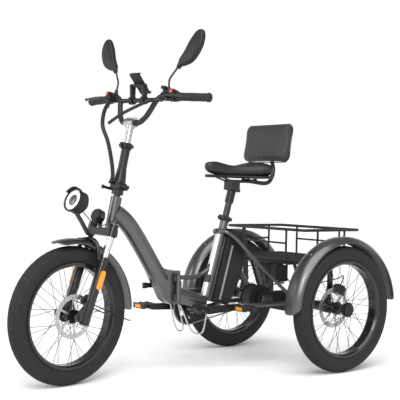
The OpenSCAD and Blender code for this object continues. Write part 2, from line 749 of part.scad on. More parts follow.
// aluminium rail that the battery slides on, in front of the seat tube
module seat_tube_fittings() color([0.66, 0.67, 0.68]) difference() {
    at_seat() {
        battery_rail();
        seat_clamp();
        translate([0, -27, seat_len - 10]) clamp_bolt();
    }
    // room for the two tubes that meet the seat tube
    at_rear() {
        rod([0, -fold_y + 12, 332], [0, -473.6, 287.9], 34.2);
        rod([0, -470, 415.9], [0, -425, 443.3], 10.6);
    }
}
module battery_rail() difference() {
    translate([0, 0, -8]) linear_extrude(height = rail_top)
        polygon([[-9, -26], [9, -26], [15, -20], [15, 16], [10, 23],
            [-10, 23], [-15, 16], [-15, -20]]);
    translate([0, 0, -20]) cylinder(r = 19.02, h = rail_top + 40);
    translate([-8, -40, 104]) cube([16, 30, 40]);
}

module seat_clamp()
    translate([0, 0, seat_len - 20]) difference() {
        union() {
            cylinder(r = 23, h = 21);
            translate([-7, -34, 0]) cube([14, 18, 21]);
        }
        translate([0, 0, -1]) cylinder(r = 19.02, h = 21);
        translate([0, 0, 18]) cylinder(r = post_r + 0.2, h = 10);
        translate([-1, -40, -1]) cube([2, 30, 30]);
        translate([0, -27, 10]) xcyl(3.05, 40, -20);
    }
module clamp_bolt() {
    xcyl(3, 22, -12);
    xcyl(7, 5, -12.5);
}
// a cam barrel upright beside the clamp, its lever reaching back by l
module cam_lever(l) translate([19, 0, 0]) {
    translate([0, 0, -8]) cylinder(r = 8.5, h = 16);
    translate([4.8, 0, -5]) cube([6, l, 10]);
    translate([8.2, l, -7]) cylinder(r = 4.6, h = 14);
}
module seat_clamp_lever() color([0.10, 0.10, 0.11]) at_seat()
    translate([0, -27, seat_len - 10]) cam_lever(40);

// axle tubes, final drive cover and the supports of basket and guards
support_x = 150;
module axle_carrier() color([0.10, 0.10, 0.11]) at_rear() difference() {
    union() {
        translate([0, 0, axle_z]) {
            xcyl(21, 610, -305);
            for (x = [-305, 283]) xcyl(27, 22, x);
        }
        // cover of the final chain, from the motor to the axle
        slab(22, 46) hull() {
            translate([0, axle_z]) circle(52);
            translate([motor_pos[0], motor_pos[1]]) circle(34);
        }
        mirrored() {
            // uprights and rails under the basket
            for (y = [-70, 150]) rods([[support_x, 0, axle_z + 8],
                [support_x, y, basket_z - 10]], 8);
            rod([support_x, -116, basket_z - 7.4],
                [support_x, 216, basket_z - 7.4], 8);
            // bracket of the mudguard and of the caliper
            slab(8, 287) polygon([[-20, axle_z], [20, axle_z],
                [32, axle_z + 92], [22, 569], [6, 569], [2, axle_z + 92]]);
            translate([287, 6, 561]) cube([31.2, 16, 8]);
        }
        for (y = [-100, 200]) rod([-support_x, y, basket_z - 7.4],
            [support_x, y, basket_z - 7.4], 7);
    }
    mirrored() translate([0, 0, axle_z]) xcyl(10 + run, 250, 61);
    translate([0, motor_pos[0], motor_pos[1]]) xcyl(9, 80, 20);
}

module motor_hub() color([0.09, 0.09, 0.10]) at_rear()
    translate([0, motor_pos[0], motor_pos[1]]) difference() {
        union() {
            xcyl(60, 74, -38);
            for (x = [-34, 28]) xcyl(64, 4, x);
            // sprocket of the pedal chain
            for (i = [0:4]) xcyl(34 - 3 * i, 2, -44 - 4 * i);
            xcyl(16, 26, -64);
        }
        xcyl(7 + run, 200, -100);
    }

chain_x = -49;
ring_teeth_r = 76;
cog_r = 31;
// the closed loop of the pedal chain as a flat outline
module chain_loop(g) hull() {
    translate([crank_y, crank_z]) circle(ring_teeth_r + g, $fn = 40);
    translate([motor_pos[0], motor_pos[1]]) circle(cog_r + g + 4, $fn = 24);
}
module chain() color([0.30, 0.29, 0.28]) at_rear() difference() {
    slab(6, chain_x - 3) chain_loop(5.5);
    slab(8, chain_x - 4) chain_loop(0.6);
}
module derailleur() color([0.16, 0.16, 0.17]) at_rear() difference() {
    union() {
        slab(5, -74) polygon([[-176, 286], [-150, 290], [-112, 236],
            [-112, 214], [-128, 206], [-140, 216], [-138, 238]]);
        for (p = [[-122, 222], [-132, 250]]) translate([0, p[0], p[1]])
            xcyl(12, 9.2, -69.1);
        translate([0, motor_pos[0], motor_pos[1]]) xcyl(12, 8, -76.9);
    }
    translate([0, motor_pos[0], motor_pos[1]]) xcyl(7.05, 60, -100);
}

// wire stand under the crank, on which the folded frame rests
stand_left = [[40, -484, 280], [58, -489, 266], [63, -500, 232],
    [62, -514, 176], [60, -530, 163], [56, -560, 170], [50, -582, 200],
    [40, -606, 258], [34, -620, 288]];
stand_right = [[-37.9, -580, 312], [-39, -572, 270], [-39, -556, 215],
    [-39, -546, 178], [-39, -558, 163], [-39, -580, 174], [-38, -598, 212],
    [-36, -612, 258], [-34, -620, 288]];
module fold_stand() color([0.34, 0.34, 0.35]) at_rear()
    for (p = [stand_left, stand_right]) sweep(curve(p, 3), 3.5, 8);

module mudguard_shape(s) translate([s * (half_track - 16), rear_y
    + guard_back, axle_z]) guard_shape(guard_w, guard_r, 24, 2.6, -92, 86);
module rear_mudguards() color([0.24, 0.24, 0.25]) {
    mudguard_shape(1);
    mudguard_shape(-1);
}

module rear_calipers() color([0.12, 0.12, 0.13]) for (s = [-1, 1])
    translate([s * (half_track - 49), rear_y, axle_z]) rotate([68, 0, 0])
        difference() {
            union() {
                translate([-17, 64, -24]) cube([34, 36, 48]);
                translate([-13, 100, -16]) cube([26, 6, 32]);
                // foot bolted to the carrier's bracket
                translate([s > 0 ? -39 : 16.9, 66, -12]) cube([22.1, 22, 24]);
            }
            translate([-2.4, 55, -40]) cube([4.8, disc_r - 50, 80]);
        }

module controller_box() color([0.12, 0.12, 0.13]) at_rear() {
    translate([52, -122, 372]) cube([50, 58, 74]);
    translate([56, -100, 445.9]) cube([42, 10, 6]);
    translate([60, -126, 380]) cube([34, 4.1, 58]);
}

// ---------- battery ----------
battery_side = [[-6, 26], [-8, 318], [34, 318], [64, 300], [90, 244],
    [104, 160], [92, 66], [66, -12], [-6, -12]];
module battery() color([0.07, 0.07, 0.08]) at_seat() {
    translate([0, 31.3, 0]) slab(76, -38) polygon(battery_side);
    // bright strip along each side
    mirrored() translate([38.1, 42, 2]) cube([1.6, 9, 246]);
}

// ---------- crankset ----------
module crank_arm(s) at_rear() translate([0, crank_y, crank_z]) {
    translate([s > 0 ? 84 : -100, 0, 0]) {
        slab(16, 0) hull() {
            circle(17);
            translate([-s * -1 * crank_len, 4]) circle(13);
        }
    }
}
function crank_tip(s) = [0, crank_y + s * crank_len, crank_z + 4];
module crank_left() color([0.10, 0.10, 0.11]) {
    crank_arm(1);
    at_rear() translate([0, crank_y, crank_z]) xcyl(8, 12, 98);
    at_rear() translate(crank_tip(1)) xcyl(6, 88, 98);
}
module crank_right() color([0.10, 0.10, 0.11]) {
    crank_arm(-1);
    at_rear() translate([0, crank_y, crank_z]) {
        xcyl(10, 170, -86);
        xcyl(8, 12, -110);
    }
    at_rear() translate(crank_tip(-1)) xcyl(6, 88, -186);
    chainring();
}
module chainring() at_rear()
    translate([0, crank_y, crank_z]) difference() {
        union() {
            xcyl(ring_teeth_r, 3, chain_x - 1.5);
            xcyl(26, 34, -83.9);
        }
        xcyl(10.01, 90, -120);
        for (i = [0:4]) rotate([i * 72, 0, 0]) translate([0, 46, 0])
            xcyl(13, 10, chain_x - 5);
    }

module pedal_shape(s) at_rear() translate(crank_tip(s))
    translate([s > 0 ? 104 : -184, 0, 0]) difference() {
        union() {
            xcyl(12, 80, 0);
            for (y = [-36, 24]) translate([0, y, -11]) cube([80, 12, 22]);
            for (x = [0, 34, 68]) translate([x, -30, -8]) cube([12, 60, 16]);
        }
        xcyl(6 + run, 100, -10);
    }
module pedal_left() color([0.08, 0.08, 0.09]) {
    pedal_shape(1);
    reflector_pair(1);
}
module pedal_right() color([0.08, 0.08, 0.09]) {
    pedal_shape(-1);
    reflector_pair(-1);
}
module reflector_pair(s) at_rear()
    translate(crank_tip(s)) for (y = [-39.2, 36.2])
        translate([s > 0 ? 124 : -164, y, -7]) cube([40, 3, 14]);

// ---------- seat ----------
post_top = seat_len + post_show;
module seat_post() color([0.16, 0.16, 0.17]) at_seat()
    translate([0, 0, seat_len - 180]) difference() {
        cylinder(r = post_r, h = 180 + post_show - 42);
        translate([0, 0, 60]) cylinder(r = 11, h = 300);
    }
// sprung head of the post: rubber boot, plunger, rails and backrest bar
module saddle_frame() color([0.08, 0.08, 0.09]) {
    at_seat() {
        difference() {
            translate([0, 0, post_top - 62]) union() {
                for (i = [0:5]) translate([0, 0, i * 9]) {
                    cylinder(r = 20, h = 5);
                    cylinder(r = 18, h = 9.2);
                }
            }
            translate([0, 0, post_top - 80]) cylinder(r = post_r + 0.4,
                h = 68);
        }
        translate([0, 0, post_top - 150]) cylinder(r = 11 - run, h = 150);
        translate([-30, -24, post_top - 8]) cube([60, 48, 14]);
    }
    at_rear() {
        mirrored() rods([[22, -395, 838], [22, -345, 823], [22, -250, 823],
            [26, -200, 832.6]], 4);
        sweep(curve([[0, -262, 826], [0, -200, 822], [0, -140, 816],
            [0, -104, 822], [0, -84, 846], [0, -76, 880],
            [0, -84, 914], [0, -94, 942]], 4), 9, 12);
        translate([0, -113, 1000]) rotate([-8, 0, 0])
            translate([-30, 17.3, -75]) cube([60, 5, 70]);
        // clamp between the post's head and the rails
        translate([-28, -344, 788]) cube([56, 46, 40]);
        mirrored() translate([8, -290, 817]) cube([20, 60, 6]);
        translate([-28, -285, 815]) cube([56, 30, 4]);
    }
}

// the saddle's padded shell, plain and closed
module saddle() color([0.10, 0.10, 0.11]) at_rear() hull() {
    translate([0, -446, 884]) scale([1, 1.1, 0.9]) sphere(25, $fn = 24);
    translate([0, -400, 862]) sphere(24, $fn = 24);
    for (s = [-1, 1]) {
        translate([s * (saddle_w / 2 - 40), -192, 874])
            sphere(38, $fn = 24);
        translate([s * 40, -300, 870]) sphere(28, $fn = 24);
    }
    translate([0, -186, 864]) sphere(25, $fn = 24);
}

module backrest_pad() color([0.20, 0.20, 0.21]) at_rear()
    translate([0, -113, 1000]) rotate([-8, 0, 0]) rotate([90, 0, 0])
        translate([0, 0, -17]) linear_extrude(height = 46) hull()
            for (x = [-1, 1], z = [-1, 1])
                translate([x * (pad_w / 2 - 34), z * (pad_h / 2 - 34)])
                    circle(34, $fn = 32);

// ---------- basket ----------
bx = basket_w / 2;
by0 = basket_front;
by1 = basket_front + basket_l;
bz0 = basket_z;
bz1 = basket_z + basket_h;
px = 0.56 * bx;        // posts of the end panels
py = 0.25 * basket_l;  // posts of the side panels
module ring_at(z, r) rods([[-bx, by0, z], [bx, by0, z], [bx, by1, z],
    [-bx, by1, z], [-bx, by0, z], [bx, by0, z]], r);
module basket() color([0.06, 0.06, 0.07]) at_rear() {
    basket_floor();
    ring_at(bz1 - wire_r, wire_r);
    ring_at(bz0 + wire_r, wire_r - 1);
    // two posts and a middle rail in each of the four sides
    for (y = [by0, by1]) {
        for (x = [-px, px]) rod([x, y, bz0 + wire_r],
            [x, y, bz1 - wire_r], 5);
        rod([-px, y, bz0 + 82], [px, y, bz0 + 82], 4.4);
    }
    for (x = [-bx, bx]) {
        for (y = [by0 + py, by1 - py]) rod([x, y, bz0 + wire_r],
            [x, y, bz1 - wire_r], 5);
        rod([x, by0 + py, bz0 + 82], [x, by1 - py, bz0 + 82], 4.4);
    }
}
// welded wire floor, its two layers of wires fused where they cross
module basket_floor() {
    for (i = [-6:6]) rod([i * bx / 7, by0 + 6, bz0 + 8.2],
        [i * bx / 7, by1 - 6, bz0 + 8.2], 2.2);
    for (i = [1:5]) rod([-bx + 6, by0 + i * basket_l / 6, bz0 + 4.6],
        [bx - 6, by0 + i * basket_l / 6, bz0 + 4.6], 2.2);
}

// ---------- cables ----------
// bundle from the handlebar to the frame, in the turned head's axes
module control_cables() color([0.08, 0.08, 0.09]) {
    lamp_cable();
    at_head() bar_bundle();
}
module bar_bundle() {
    sweep(curve([[-160, 6.7, stem_h + 95], [-136, -30, stem_h + 76],
        [-98, -72, stem_h + 26], [-52, -100, stem_h - 40],
        [-20, -84, stem_h - 100], [-6, -56, stem_h - 176],
        [-4, -38, stem_h - 232], [-14, -36, stem_h - 262]], 4), 8, 10);
    sweep(curve([[160, 7.4, stem_h + 95.9], [120, -20, stem_h + 88],
        [60, -34, stem_h + 62], [10, -66, stem_h + 20],
        [-30, -92, stem_h - 26]], 4), 6.5, 10);
}
module lamp_cable() at_head()
    sweep(curve([[0, lamp_at[1] + 17, 46], [4, -140, 34], [20, -112, 12],
        [37, -80, 6], [37, -50, 18], [30, -22, 34], [24.6, -6, 44]], 4),
        2, 8);
// hoses from the frame to the two rear calipers and the controller
module rear_cables() color([0.05, 0.05, 0.06]) at_rear() {
    for (s = [-1, 1]) sweep(curve(concat(
        [[s * (half_track - 49), 40, 374.2], [s * (half_track - 54), 62, 402],
         [s * 290, 96, 408], [s * 250, 110, 392], [s * 200, 60, 372],
         [s * 158, 10, 352]], s > 0 ? [[120, -30, 350], [88, -61.5, 388]]
        : [[-110, -20, 346], [-40, -40, 344], [20, -50, 354],
            [70, -61.1, 388]]), 4), 2.6, 8);
}

front_frame();
frame_latch();
rear_frame();
seat_tube_fittings();
seat_clamp_lever();
axle_carrier();
motor_hub();
chain();
derailleur();
fold_stand();
rear_mudguards();
rear_calipers();
controller_box();
battery();
crank_left();
crank_right();
pedal_left();
pedal_right();
seat_post();
saddle_frame();
saddle();
backrest_pad();
basket();
left_tyre();
left_rim();
left_spokes();
left_hub();
right_tyre();
right_rim();
right_spokes();
right_hub();
front_tyre();
front_rim();
front_spokes();
front_hub();
fork_crown();
stanchions();
fork_lowers();
front_mudguard();
front_caliper();
headlight();
horn();
stem_base();
stem_latch();
stem_lower();
stem_lever();
stem_upper();
handlebar();
grips();
bar_fittings();
brake_lever_left();
brake_lever_right();
button_left();
button_right();
throttle();
phone_plate();
mirror_left();
mirror_right();
control_cables();
rear_cables();
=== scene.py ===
"""Looks of a folding electric tricycle for adults: tyres, guards, padding, lamp, hoses and finishes."""

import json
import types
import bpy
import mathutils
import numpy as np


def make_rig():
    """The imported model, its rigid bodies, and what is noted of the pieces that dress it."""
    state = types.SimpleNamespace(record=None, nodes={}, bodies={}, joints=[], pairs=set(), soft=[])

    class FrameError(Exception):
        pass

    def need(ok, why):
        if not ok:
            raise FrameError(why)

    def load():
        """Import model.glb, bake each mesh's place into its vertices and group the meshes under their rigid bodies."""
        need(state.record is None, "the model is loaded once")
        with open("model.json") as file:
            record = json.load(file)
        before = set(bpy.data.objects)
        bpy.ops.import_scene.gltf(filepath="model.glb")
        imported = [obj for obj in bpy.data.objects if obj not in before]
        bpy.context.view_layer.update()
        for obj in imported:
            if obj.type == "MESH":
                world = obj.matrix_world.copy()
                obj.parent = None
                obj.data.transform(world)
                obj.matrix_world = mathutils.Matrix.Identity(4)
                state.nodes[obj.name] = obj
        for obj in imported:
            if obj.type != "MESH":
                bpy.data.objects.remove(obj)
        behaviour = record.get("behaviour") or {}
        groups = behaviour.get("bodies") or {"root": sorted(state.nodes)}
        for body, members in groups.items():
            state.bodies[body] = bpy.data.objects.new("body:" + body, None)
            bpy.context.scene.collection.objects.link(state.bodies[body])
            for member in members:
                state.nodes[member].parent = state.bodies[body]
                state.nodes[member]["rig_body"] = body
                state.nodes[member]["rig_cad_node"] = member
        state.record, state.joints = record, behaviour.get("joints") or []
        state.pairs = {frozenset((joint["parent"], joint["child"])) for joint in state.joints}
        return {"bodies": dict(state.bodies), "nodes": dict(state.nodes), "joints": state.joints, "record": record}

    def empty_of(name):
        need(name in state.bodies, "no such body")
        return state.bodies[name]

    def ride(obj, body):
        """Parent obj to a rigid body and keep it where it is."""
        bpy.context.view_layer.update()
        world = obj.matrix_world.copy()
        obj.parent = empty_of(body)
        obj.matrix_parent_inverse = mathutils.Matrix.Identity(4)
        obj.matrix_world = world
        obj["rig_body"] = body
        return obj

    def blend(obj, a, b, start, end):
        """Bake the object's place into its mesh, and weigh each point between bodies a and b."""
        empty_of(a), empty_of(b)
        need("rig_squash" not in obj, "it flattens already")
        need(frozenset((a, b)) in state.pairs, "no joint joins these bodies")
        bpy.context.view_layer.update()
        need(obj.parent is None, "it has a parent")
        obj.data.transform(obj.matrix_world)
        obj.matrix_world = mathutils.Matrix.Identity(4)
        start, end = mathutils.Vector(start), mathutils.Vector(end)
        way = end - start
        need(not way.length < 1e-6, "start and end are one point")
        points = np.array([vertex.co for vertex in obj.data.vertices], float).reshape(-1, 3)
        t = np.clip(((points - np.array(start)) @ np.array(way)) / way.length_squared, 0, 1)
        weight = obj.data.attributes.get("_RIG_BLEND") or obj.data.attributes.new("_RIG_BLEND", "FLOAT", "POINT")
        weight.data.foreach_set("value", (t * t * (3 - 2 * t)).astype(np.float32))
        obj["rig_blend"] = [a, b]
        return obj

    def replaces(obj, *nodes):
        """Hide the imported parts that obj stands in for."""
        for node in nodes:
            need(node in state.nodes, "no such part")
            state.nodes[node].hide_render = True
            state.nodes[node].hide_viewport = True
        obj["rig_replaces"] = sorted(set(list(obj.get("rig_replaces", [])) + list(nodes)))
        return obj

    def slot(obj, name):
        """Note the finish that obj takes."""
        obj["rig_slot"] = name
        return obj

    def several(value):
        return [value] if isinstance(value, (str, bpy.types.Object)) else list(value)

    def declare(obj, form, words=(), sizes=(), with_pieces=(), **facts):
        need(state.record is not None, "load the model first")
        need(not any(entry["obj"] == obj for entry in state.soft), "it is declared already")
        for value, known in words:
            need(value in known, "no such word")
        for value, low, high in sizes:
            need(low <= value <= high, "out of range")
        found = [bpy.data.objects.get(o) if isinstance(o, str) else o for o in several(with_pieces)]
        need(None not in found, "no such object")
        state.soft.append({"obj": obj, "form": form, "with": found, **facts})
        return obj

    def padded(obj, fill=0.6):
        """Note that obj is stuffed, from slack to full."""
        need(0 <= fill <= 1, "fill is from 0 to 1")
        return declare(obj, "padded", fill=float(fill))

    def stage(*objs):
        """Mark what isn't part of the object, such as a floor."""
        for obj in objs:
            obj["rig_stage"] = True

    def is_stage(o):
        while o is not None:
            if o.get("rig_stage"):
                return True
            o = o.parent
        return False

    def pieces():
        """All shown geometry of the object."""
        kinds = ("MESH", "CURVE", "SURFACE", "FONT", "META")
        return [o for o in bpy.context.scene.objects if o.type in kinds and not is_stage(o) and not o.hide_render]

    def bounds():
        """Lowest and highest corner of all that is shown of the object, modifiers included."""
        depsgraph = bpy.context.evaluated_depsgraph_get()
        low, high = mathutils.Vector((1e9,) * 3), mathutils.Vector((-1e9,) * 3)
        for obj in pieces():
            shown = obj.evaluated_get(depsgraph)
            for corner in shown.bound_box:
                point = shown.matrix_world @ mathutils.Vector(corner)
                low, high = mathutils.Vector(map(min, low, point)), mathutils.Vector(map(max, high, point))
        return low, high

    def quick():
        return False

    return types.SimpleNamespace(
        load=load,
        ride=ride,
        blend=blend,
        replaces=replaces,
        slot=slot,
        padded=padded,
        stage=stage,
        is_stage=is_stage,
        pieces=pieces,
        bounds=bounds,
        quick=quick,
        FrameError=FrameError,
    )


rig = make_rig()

bl_info = {
    "name": "Adult Tricycle",
    "version": (1, 0, 0),
    "blender": (4, 5, 0),
    "location": "3D View > Sidebar > Tricycle",
    "description": "Visible surfaces and finishes of a folding electric tricycle",
    "category": "Object",
}

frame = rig.load()

import json
import math

import bmesh
import bpy
import numpy as np
from bpy.props import FloatProperty, FloatVectorProperty, IntProperty, PointerProperty
from bpy.types import Operator, Panel, PropertyGroup
from mathutils import Matrix, Vector

CAD_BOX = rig.bounds()
JOINTS = {joint["name"]: joint for joint in frame["joints"]}
NODES = frame["nodes"]
MM = 0.001


# ---------- places ----------

def turn_x(degrees):
    """Rotation about X, right-handed."""
    c, s = math.cos(math.radians(degrees)), math.sin(math.radians(degrees))
    return np.array([[1, 0, 0], [0, c, -s], [0, s, c]])


def turn_y(degrees):
    """Rotation about Y, right-handed."""
    c, s = math.cos(math.radians(degrees)), math.sin(math.radians(degrees))
    return np.array([[c, 0, s], [0, 1, 0], [-s, 0, c]])


def turn_z(degrees):
    """Rotation about Z, right-handed."""
    c, s = math.cos(math.radians(degrees)), math.sin(math.radians(degrees))
    return np.array([[c, -s, 0], [s, c, 0], [0, 0, 1]])


class Place:
    """A point and three axes in the row frame. Calling it turns local millimetres into row metres."""

    def __init__(self, origin, axes):
        self.origin = np.array(origin, float)
        self.axes = np.array(axes, float)

    def __call__(self, points):
        return self.origin + MM * (np.asarray(points, float) @ self.axes.T)

    def child(self, offset, turn=None):
        """A place at a local offset in millimetres, turned by a local rotation matrix."""
        return Place(self(offset), self.axes @ (np.eye(3) if turn is None else turn))

    def along(self, direction):
        """A place here whose local Z is the local direction given."""
        z = np.array(direction, float) / np.linalg.norm(direction)
        x = np.cross([0, 1, 0] if abs(z[1]) < 0.9 else [1, 0, 0], z)
        x = x / np.linalg.norm(x)
        return Place(self.origin, self.axes @ np.column_stack([x, np.cross(z, x), z]))


def pivot(name):
    """Where a joint's axis is, in metres."""
    return np.array(JOINTS[name]["pos_m"], float)


def axis_of(name):
    """A joint's axis as a unit vector."""
    axis = np.array(JOINTS[name]["axis"], float)
    return axis / np.linalg.norm(axis)


def axes_from(x, z):
    """Three axes from X and Z."""
    return np.column_stack([x, np.cross(z, x), z])


STEM_HEIGHT = 448
BAR_RISE = 98
BAR_KNEE = 112
GRIP_START = 214
GRIP_SWEEP = 10
BAR_END = 370
BAR_RADIUS = 11.1
LEG_TILT = 7.6
LEG_X = 66
LEG_FORWARD = 40
CROWN_TOP = 18
HEAD_AXES = axes_from(axis_of("front_wheel_spin"), axis_of("steering"))
HEAD = Place(pivot("steering"), HEAD_AXES)
BAR = HEAD.child([0, 0, STEM_HEIGHT])
AXLE = Place(pivot("front_wheel_spin"), HEAD_AXES)
REAR = Place([0, pivot("left_wheel_spin")[1], 0], np.eye(3))
SEAT_AXES = axes_from([1, 0, 0], axis_of("seat_height"))
SEAT = Place(pivot("seat_clamp_swing"), SEAT_AXES).child([-19, 27, -356])
WHEELS = {
    "left": Place(pivot("left_wheel_spin"), np.eye(3)),
    "right": Place(pivot("right_wheel_spin"), np.eye(3)),
    "front": AXLE,
}
LAMP = HEAD.child([0, -172, 72], turn_x(90 - 11.5))


def bar_back(x):
    """How far behind the clamp the bar lies, x from the middle."""
    return 14 if x < BAR_KNEE else 14 + (x - BAR_KNEE) * math.tan(math.radians(GRIP_SWEEP))


def grip_place(side, x):
    """On the grip's axis at x from the middle, Z outward and X down."""
    turn = turn_z(GRIP_SWEEP if side > 0 else 180 - GRIP_SWEEP) @ turn_y(90)
    return BAR.child([side * x, bar_back(x), BAR_RISE + 18], turn)


# ---------- surfaces ----------

def smooth_step(low, high, x):
    """0 below low, 1 above high, and the cubic 3t^2 - 2t^3 between."""
    t = np.clip((np.asarray(x, float) - low) / (high - low), 0, 1)
    return t * t * (3 - 2 * t)


def curve(points, steps):
    """Catmull-Rom curve: between neighbours b and c of a, b, c, d it is the cubic with slopes
    (c - a) / 2 and (d - b) / 2, sampled steps times."""
    p = np.asarray(points, float)
    a, b = np.vstack([p[:1], p[:-2]]), p[:-1]
    c, d = p[1:], np.vstack([p[2:], p[-1:]])
    t = (np.arange(steps) / steps)[None, :, None]
    a, b, c, d = (q[:, None, :] for q in (a, b, c, d))
    fine = 0.5 * (2 * b + (c - a) * t + (2 * a - 5 * b + 4 * c - d) * t ** 2
                  + (3 * b - a - 3 * c + d) * t ** 3)
    return np.vstack([fine.reshape(-1, 3), p[-1:]])


def closed_curve(points, steps):
    """The same curve through a closed ring of points in the plane."""
    ring = np.column_stack([points, np.zeros(len(points))])
    return curve(np.vstack([ring[-1:], ring, ring[:2]]), steps)[steps:-steps - 1, :2]


def tube(path, radius, sides=20, across=(1, 0, 0), ridge=None):
    """Circles of the given radius round a path: centre + r (n cos v + b sin v), where b is the path's
    direction crossed with a fixed vector, closed by a pole at each end. ridge(s, v) adds to the radius,
    s being the length along the path."""
    p = np.asarray(path, float)
    step = np.gradient(p, axis=0)
    step /= np.linalg.norm(step, axis=1)[:, None]
    b = np.cross(step, np.asarray(across, float))
    b /= np.linalg.norm(b, axis=1)[:, None]
    n = np.cross(b, step)
    v = np.linspace(0, 2 * np.pi, sides, endpoint=False)
    length = np.concatenate([[0], np.cumsum(np.linalg.norm(np.diff(p, axis=0), axis=1))])
    r = np.asarray(radius, float) + np.zeros((len(p), sides))
    if ridge is not None:
        r = r + ridge(length[:, None], v[None, :])
    ring = p[:, None, :] + r[..., None] * (n[:, None, :] * np.cos(v)[None, :, None]
                                          + b[:, None, :] * np.sin(v)[None, :, None])
    first = np.broadcast_to(p[:1, None, :], (1, sides, 3))
    last = np.broadcast_to(p[-1:, None, :], (1, sides, 3))
    return np.concatenate([first, ring, last])


def lathe(place, profile, sides=64):
    """A profile of (radius, height) turned round local Z: (r cos v, r sin v, h)."""
    p = np.asarray(profile, float)
    v = np.linspace(0, 2 * np.pi, sides, endpoint=False)
    r, h = p[:, 0][:, None], p[:, 1][:, None]
    return place(np.stack([r * np.cos(v), r * np.sin(v), h + 0 * v], axis=-1))


def pressed(place, outline, rows):
    """A closed outline (n, 2) repeated in rows of (scale about its middle, height)."""
    o = np.asarray(outline, float)
    middle = o.mean(0)
    k = np.array([row[0] for row in rows], float)[:, None, None]
    h = np.array([row[1] for row in rows], float)[:, None, None]
    flat = middle + k * (o - middle)[None]
    return place(np.concatenate([flat, np.broadcast_to(h, flat.shape[:2] + (1,))], axis=-1))


def soft_rows(outline, low, high, edge_low, edge_high, crown):
    """Rows for pressed(): flat below, both rims drawn in by quarter rounds, the top domed by crown."""
    o = np.asarray(outline, float)
    size = np.linalg.norm(o - o.mean(0), axis=1).min()
    a = np.linspace(0, np.pi / 2, 6)
    lower = [(1 - edge_low * (1 - math.sin(t)) / size, low + edge_low * (1 - math.cos(t))) for t in a]
    upper = [(1 - edge_high * (1 - math.cos(t)) / size, high - edge_high * (1 - math.sin(t)))
             for t in a]
    last = upper[-1][0]
    dome = [(last * k, high + crown * (1 - k * k)) for k in (0.88, 0.74, 0.55, 0.35, 0.15, 0.0)]
    return [(0.0, low), (0.5, low)] + lower + upper + dome


def rounded(width, height, radius, steps=6):
    """A rectangle's outline with quarter-circle corners, about the origin."""
    t = np.linspace(0, np.pi / 2, steps)
    corners = []
    for i, (sx, sy) in enumerate(((1, 1), (-1, 1), (-1, -1), (1, -1))):
        centre = np.array([sx * (width / 2 - radius), sy * (height / 2 - radius)])
        angle = t + i * np.pi / 2
        corners.append(centre + radius * np.column_stack([np.cos(angle), np.sin(angle)]))
    return np.vstack(corners)


def grid_faces(rows, columns, loop):
    """Quads of a grid whose columns wrap round, and whose rows do too if loop is set."""
    i = np.arange(rows if loop else rows - 1)[:, None]
    j = np.arange(columns)[None, :]
    k, m = (i + 1) % rows, (j + 1) % columns
    quads = np.stack([i * columns + j, k * columns + j, k * columns + m, i * columns + m], axis=-1)
    return quads.reshape(-1, 4)


def skin(name, grids, finish, body=None, replaces=(), loop=False, sharp=38, slot=None):
    """One piece from one or more grids of points in metres, (rows, columns, 3). Rows that shrink to a
    point merge into a pole, and every face is turned outward."""
    points, faces, count = [], [], 0
    for grid in grids:
        rows, columns = grid.shape[:2]
        points.append(grid.reshape(-1, 3))
        faces.append(grid_faces(rows, columns, loop) + count)
        count += rows * columns
    mesh = bpy.data.meshes.new(name)
    mesh.from_pydata(np.vstack(points), [], np.vstack(faces))
    tidy(mesh)
    mesh.set_sharp_from_angle(angle=math.radians(sharp))
    piece = bpy.data.objects.new(name, mesh)
    bpy.context.scene.collection.objects.link(piece)
    mesh.materials.append(finish)
    if replaces:
        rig.replaces(piece, *replaces)
    if slot:
        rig.slot(piece, slot)
    if body:
        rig.ride(piece, body)
    return piece


def tidy(mesh):
    """Merges doubled points, drops empty faces and turns faces outward."""
    work = bmesh.new()
    work.from_mesh(mesh)
    bmesh.ops.remove_doubles(work, verts=work.verts, dist=2e-6)
    bmesh.ops.dissolve_degenerate(work, edges=work.edges, dist=1e-7)
    bmesh.ops.recalc_face_normals(work, faces=work.faces)
    work.to_mesh(mesh)
    work.free()
    mesh.shade_smooth()


# ---------- shader maths ----------

class Value:
    """A node's output socket, so that shader maths reads as arithmetic."""

    def __init__(self, tree, socket):
        self.tree = tree
        self.socket = socket

    def maths(self, operation, *values):
        """A Math node on one to three values."""
        node = self.tree.nodes.new("ShaderNodeMath")
        node.operation = operation
        for slot, value in zip(node.inputs, values):
            if isinstance(value, Value):
                self.tree.links.new(value.socket, slot)
            else:
                slot.default_value = value
        return Value(self.tree, node.outputs[0])

    def __add__(self, other):
        return self.maths("ADD", self, other)

    __radd__ = __add__

    def __sub__(self, other):
        return self.maths("SUBTRACT", self, other)

    def __rsub__(self, other):
        return self.maths("SUBTRACT", other, self)

    def __mul__(self, other):
        return self.maths("MULTIPLY", self, other)

    __rmul__ = __mul__

    def __abs__(self):
        return self.maths("ABSOLUTE", self)

    def __gt__(self, other):
        return self.maths("GREATER_THAN", self, other)

    def __lt__(self, other):
        return self.maths("LESS_THAN", self, other)

    def wave(self, scale):
        """sin(scale times this)."""
        return self.maths("SINE", self * scale)

    def root(self):
        """Square root of this."""
        return self.maths("SQRT", self)

    def either(self, other):
        """The larger of two values."""
        return self.maths("MAXIMUM", self, other)


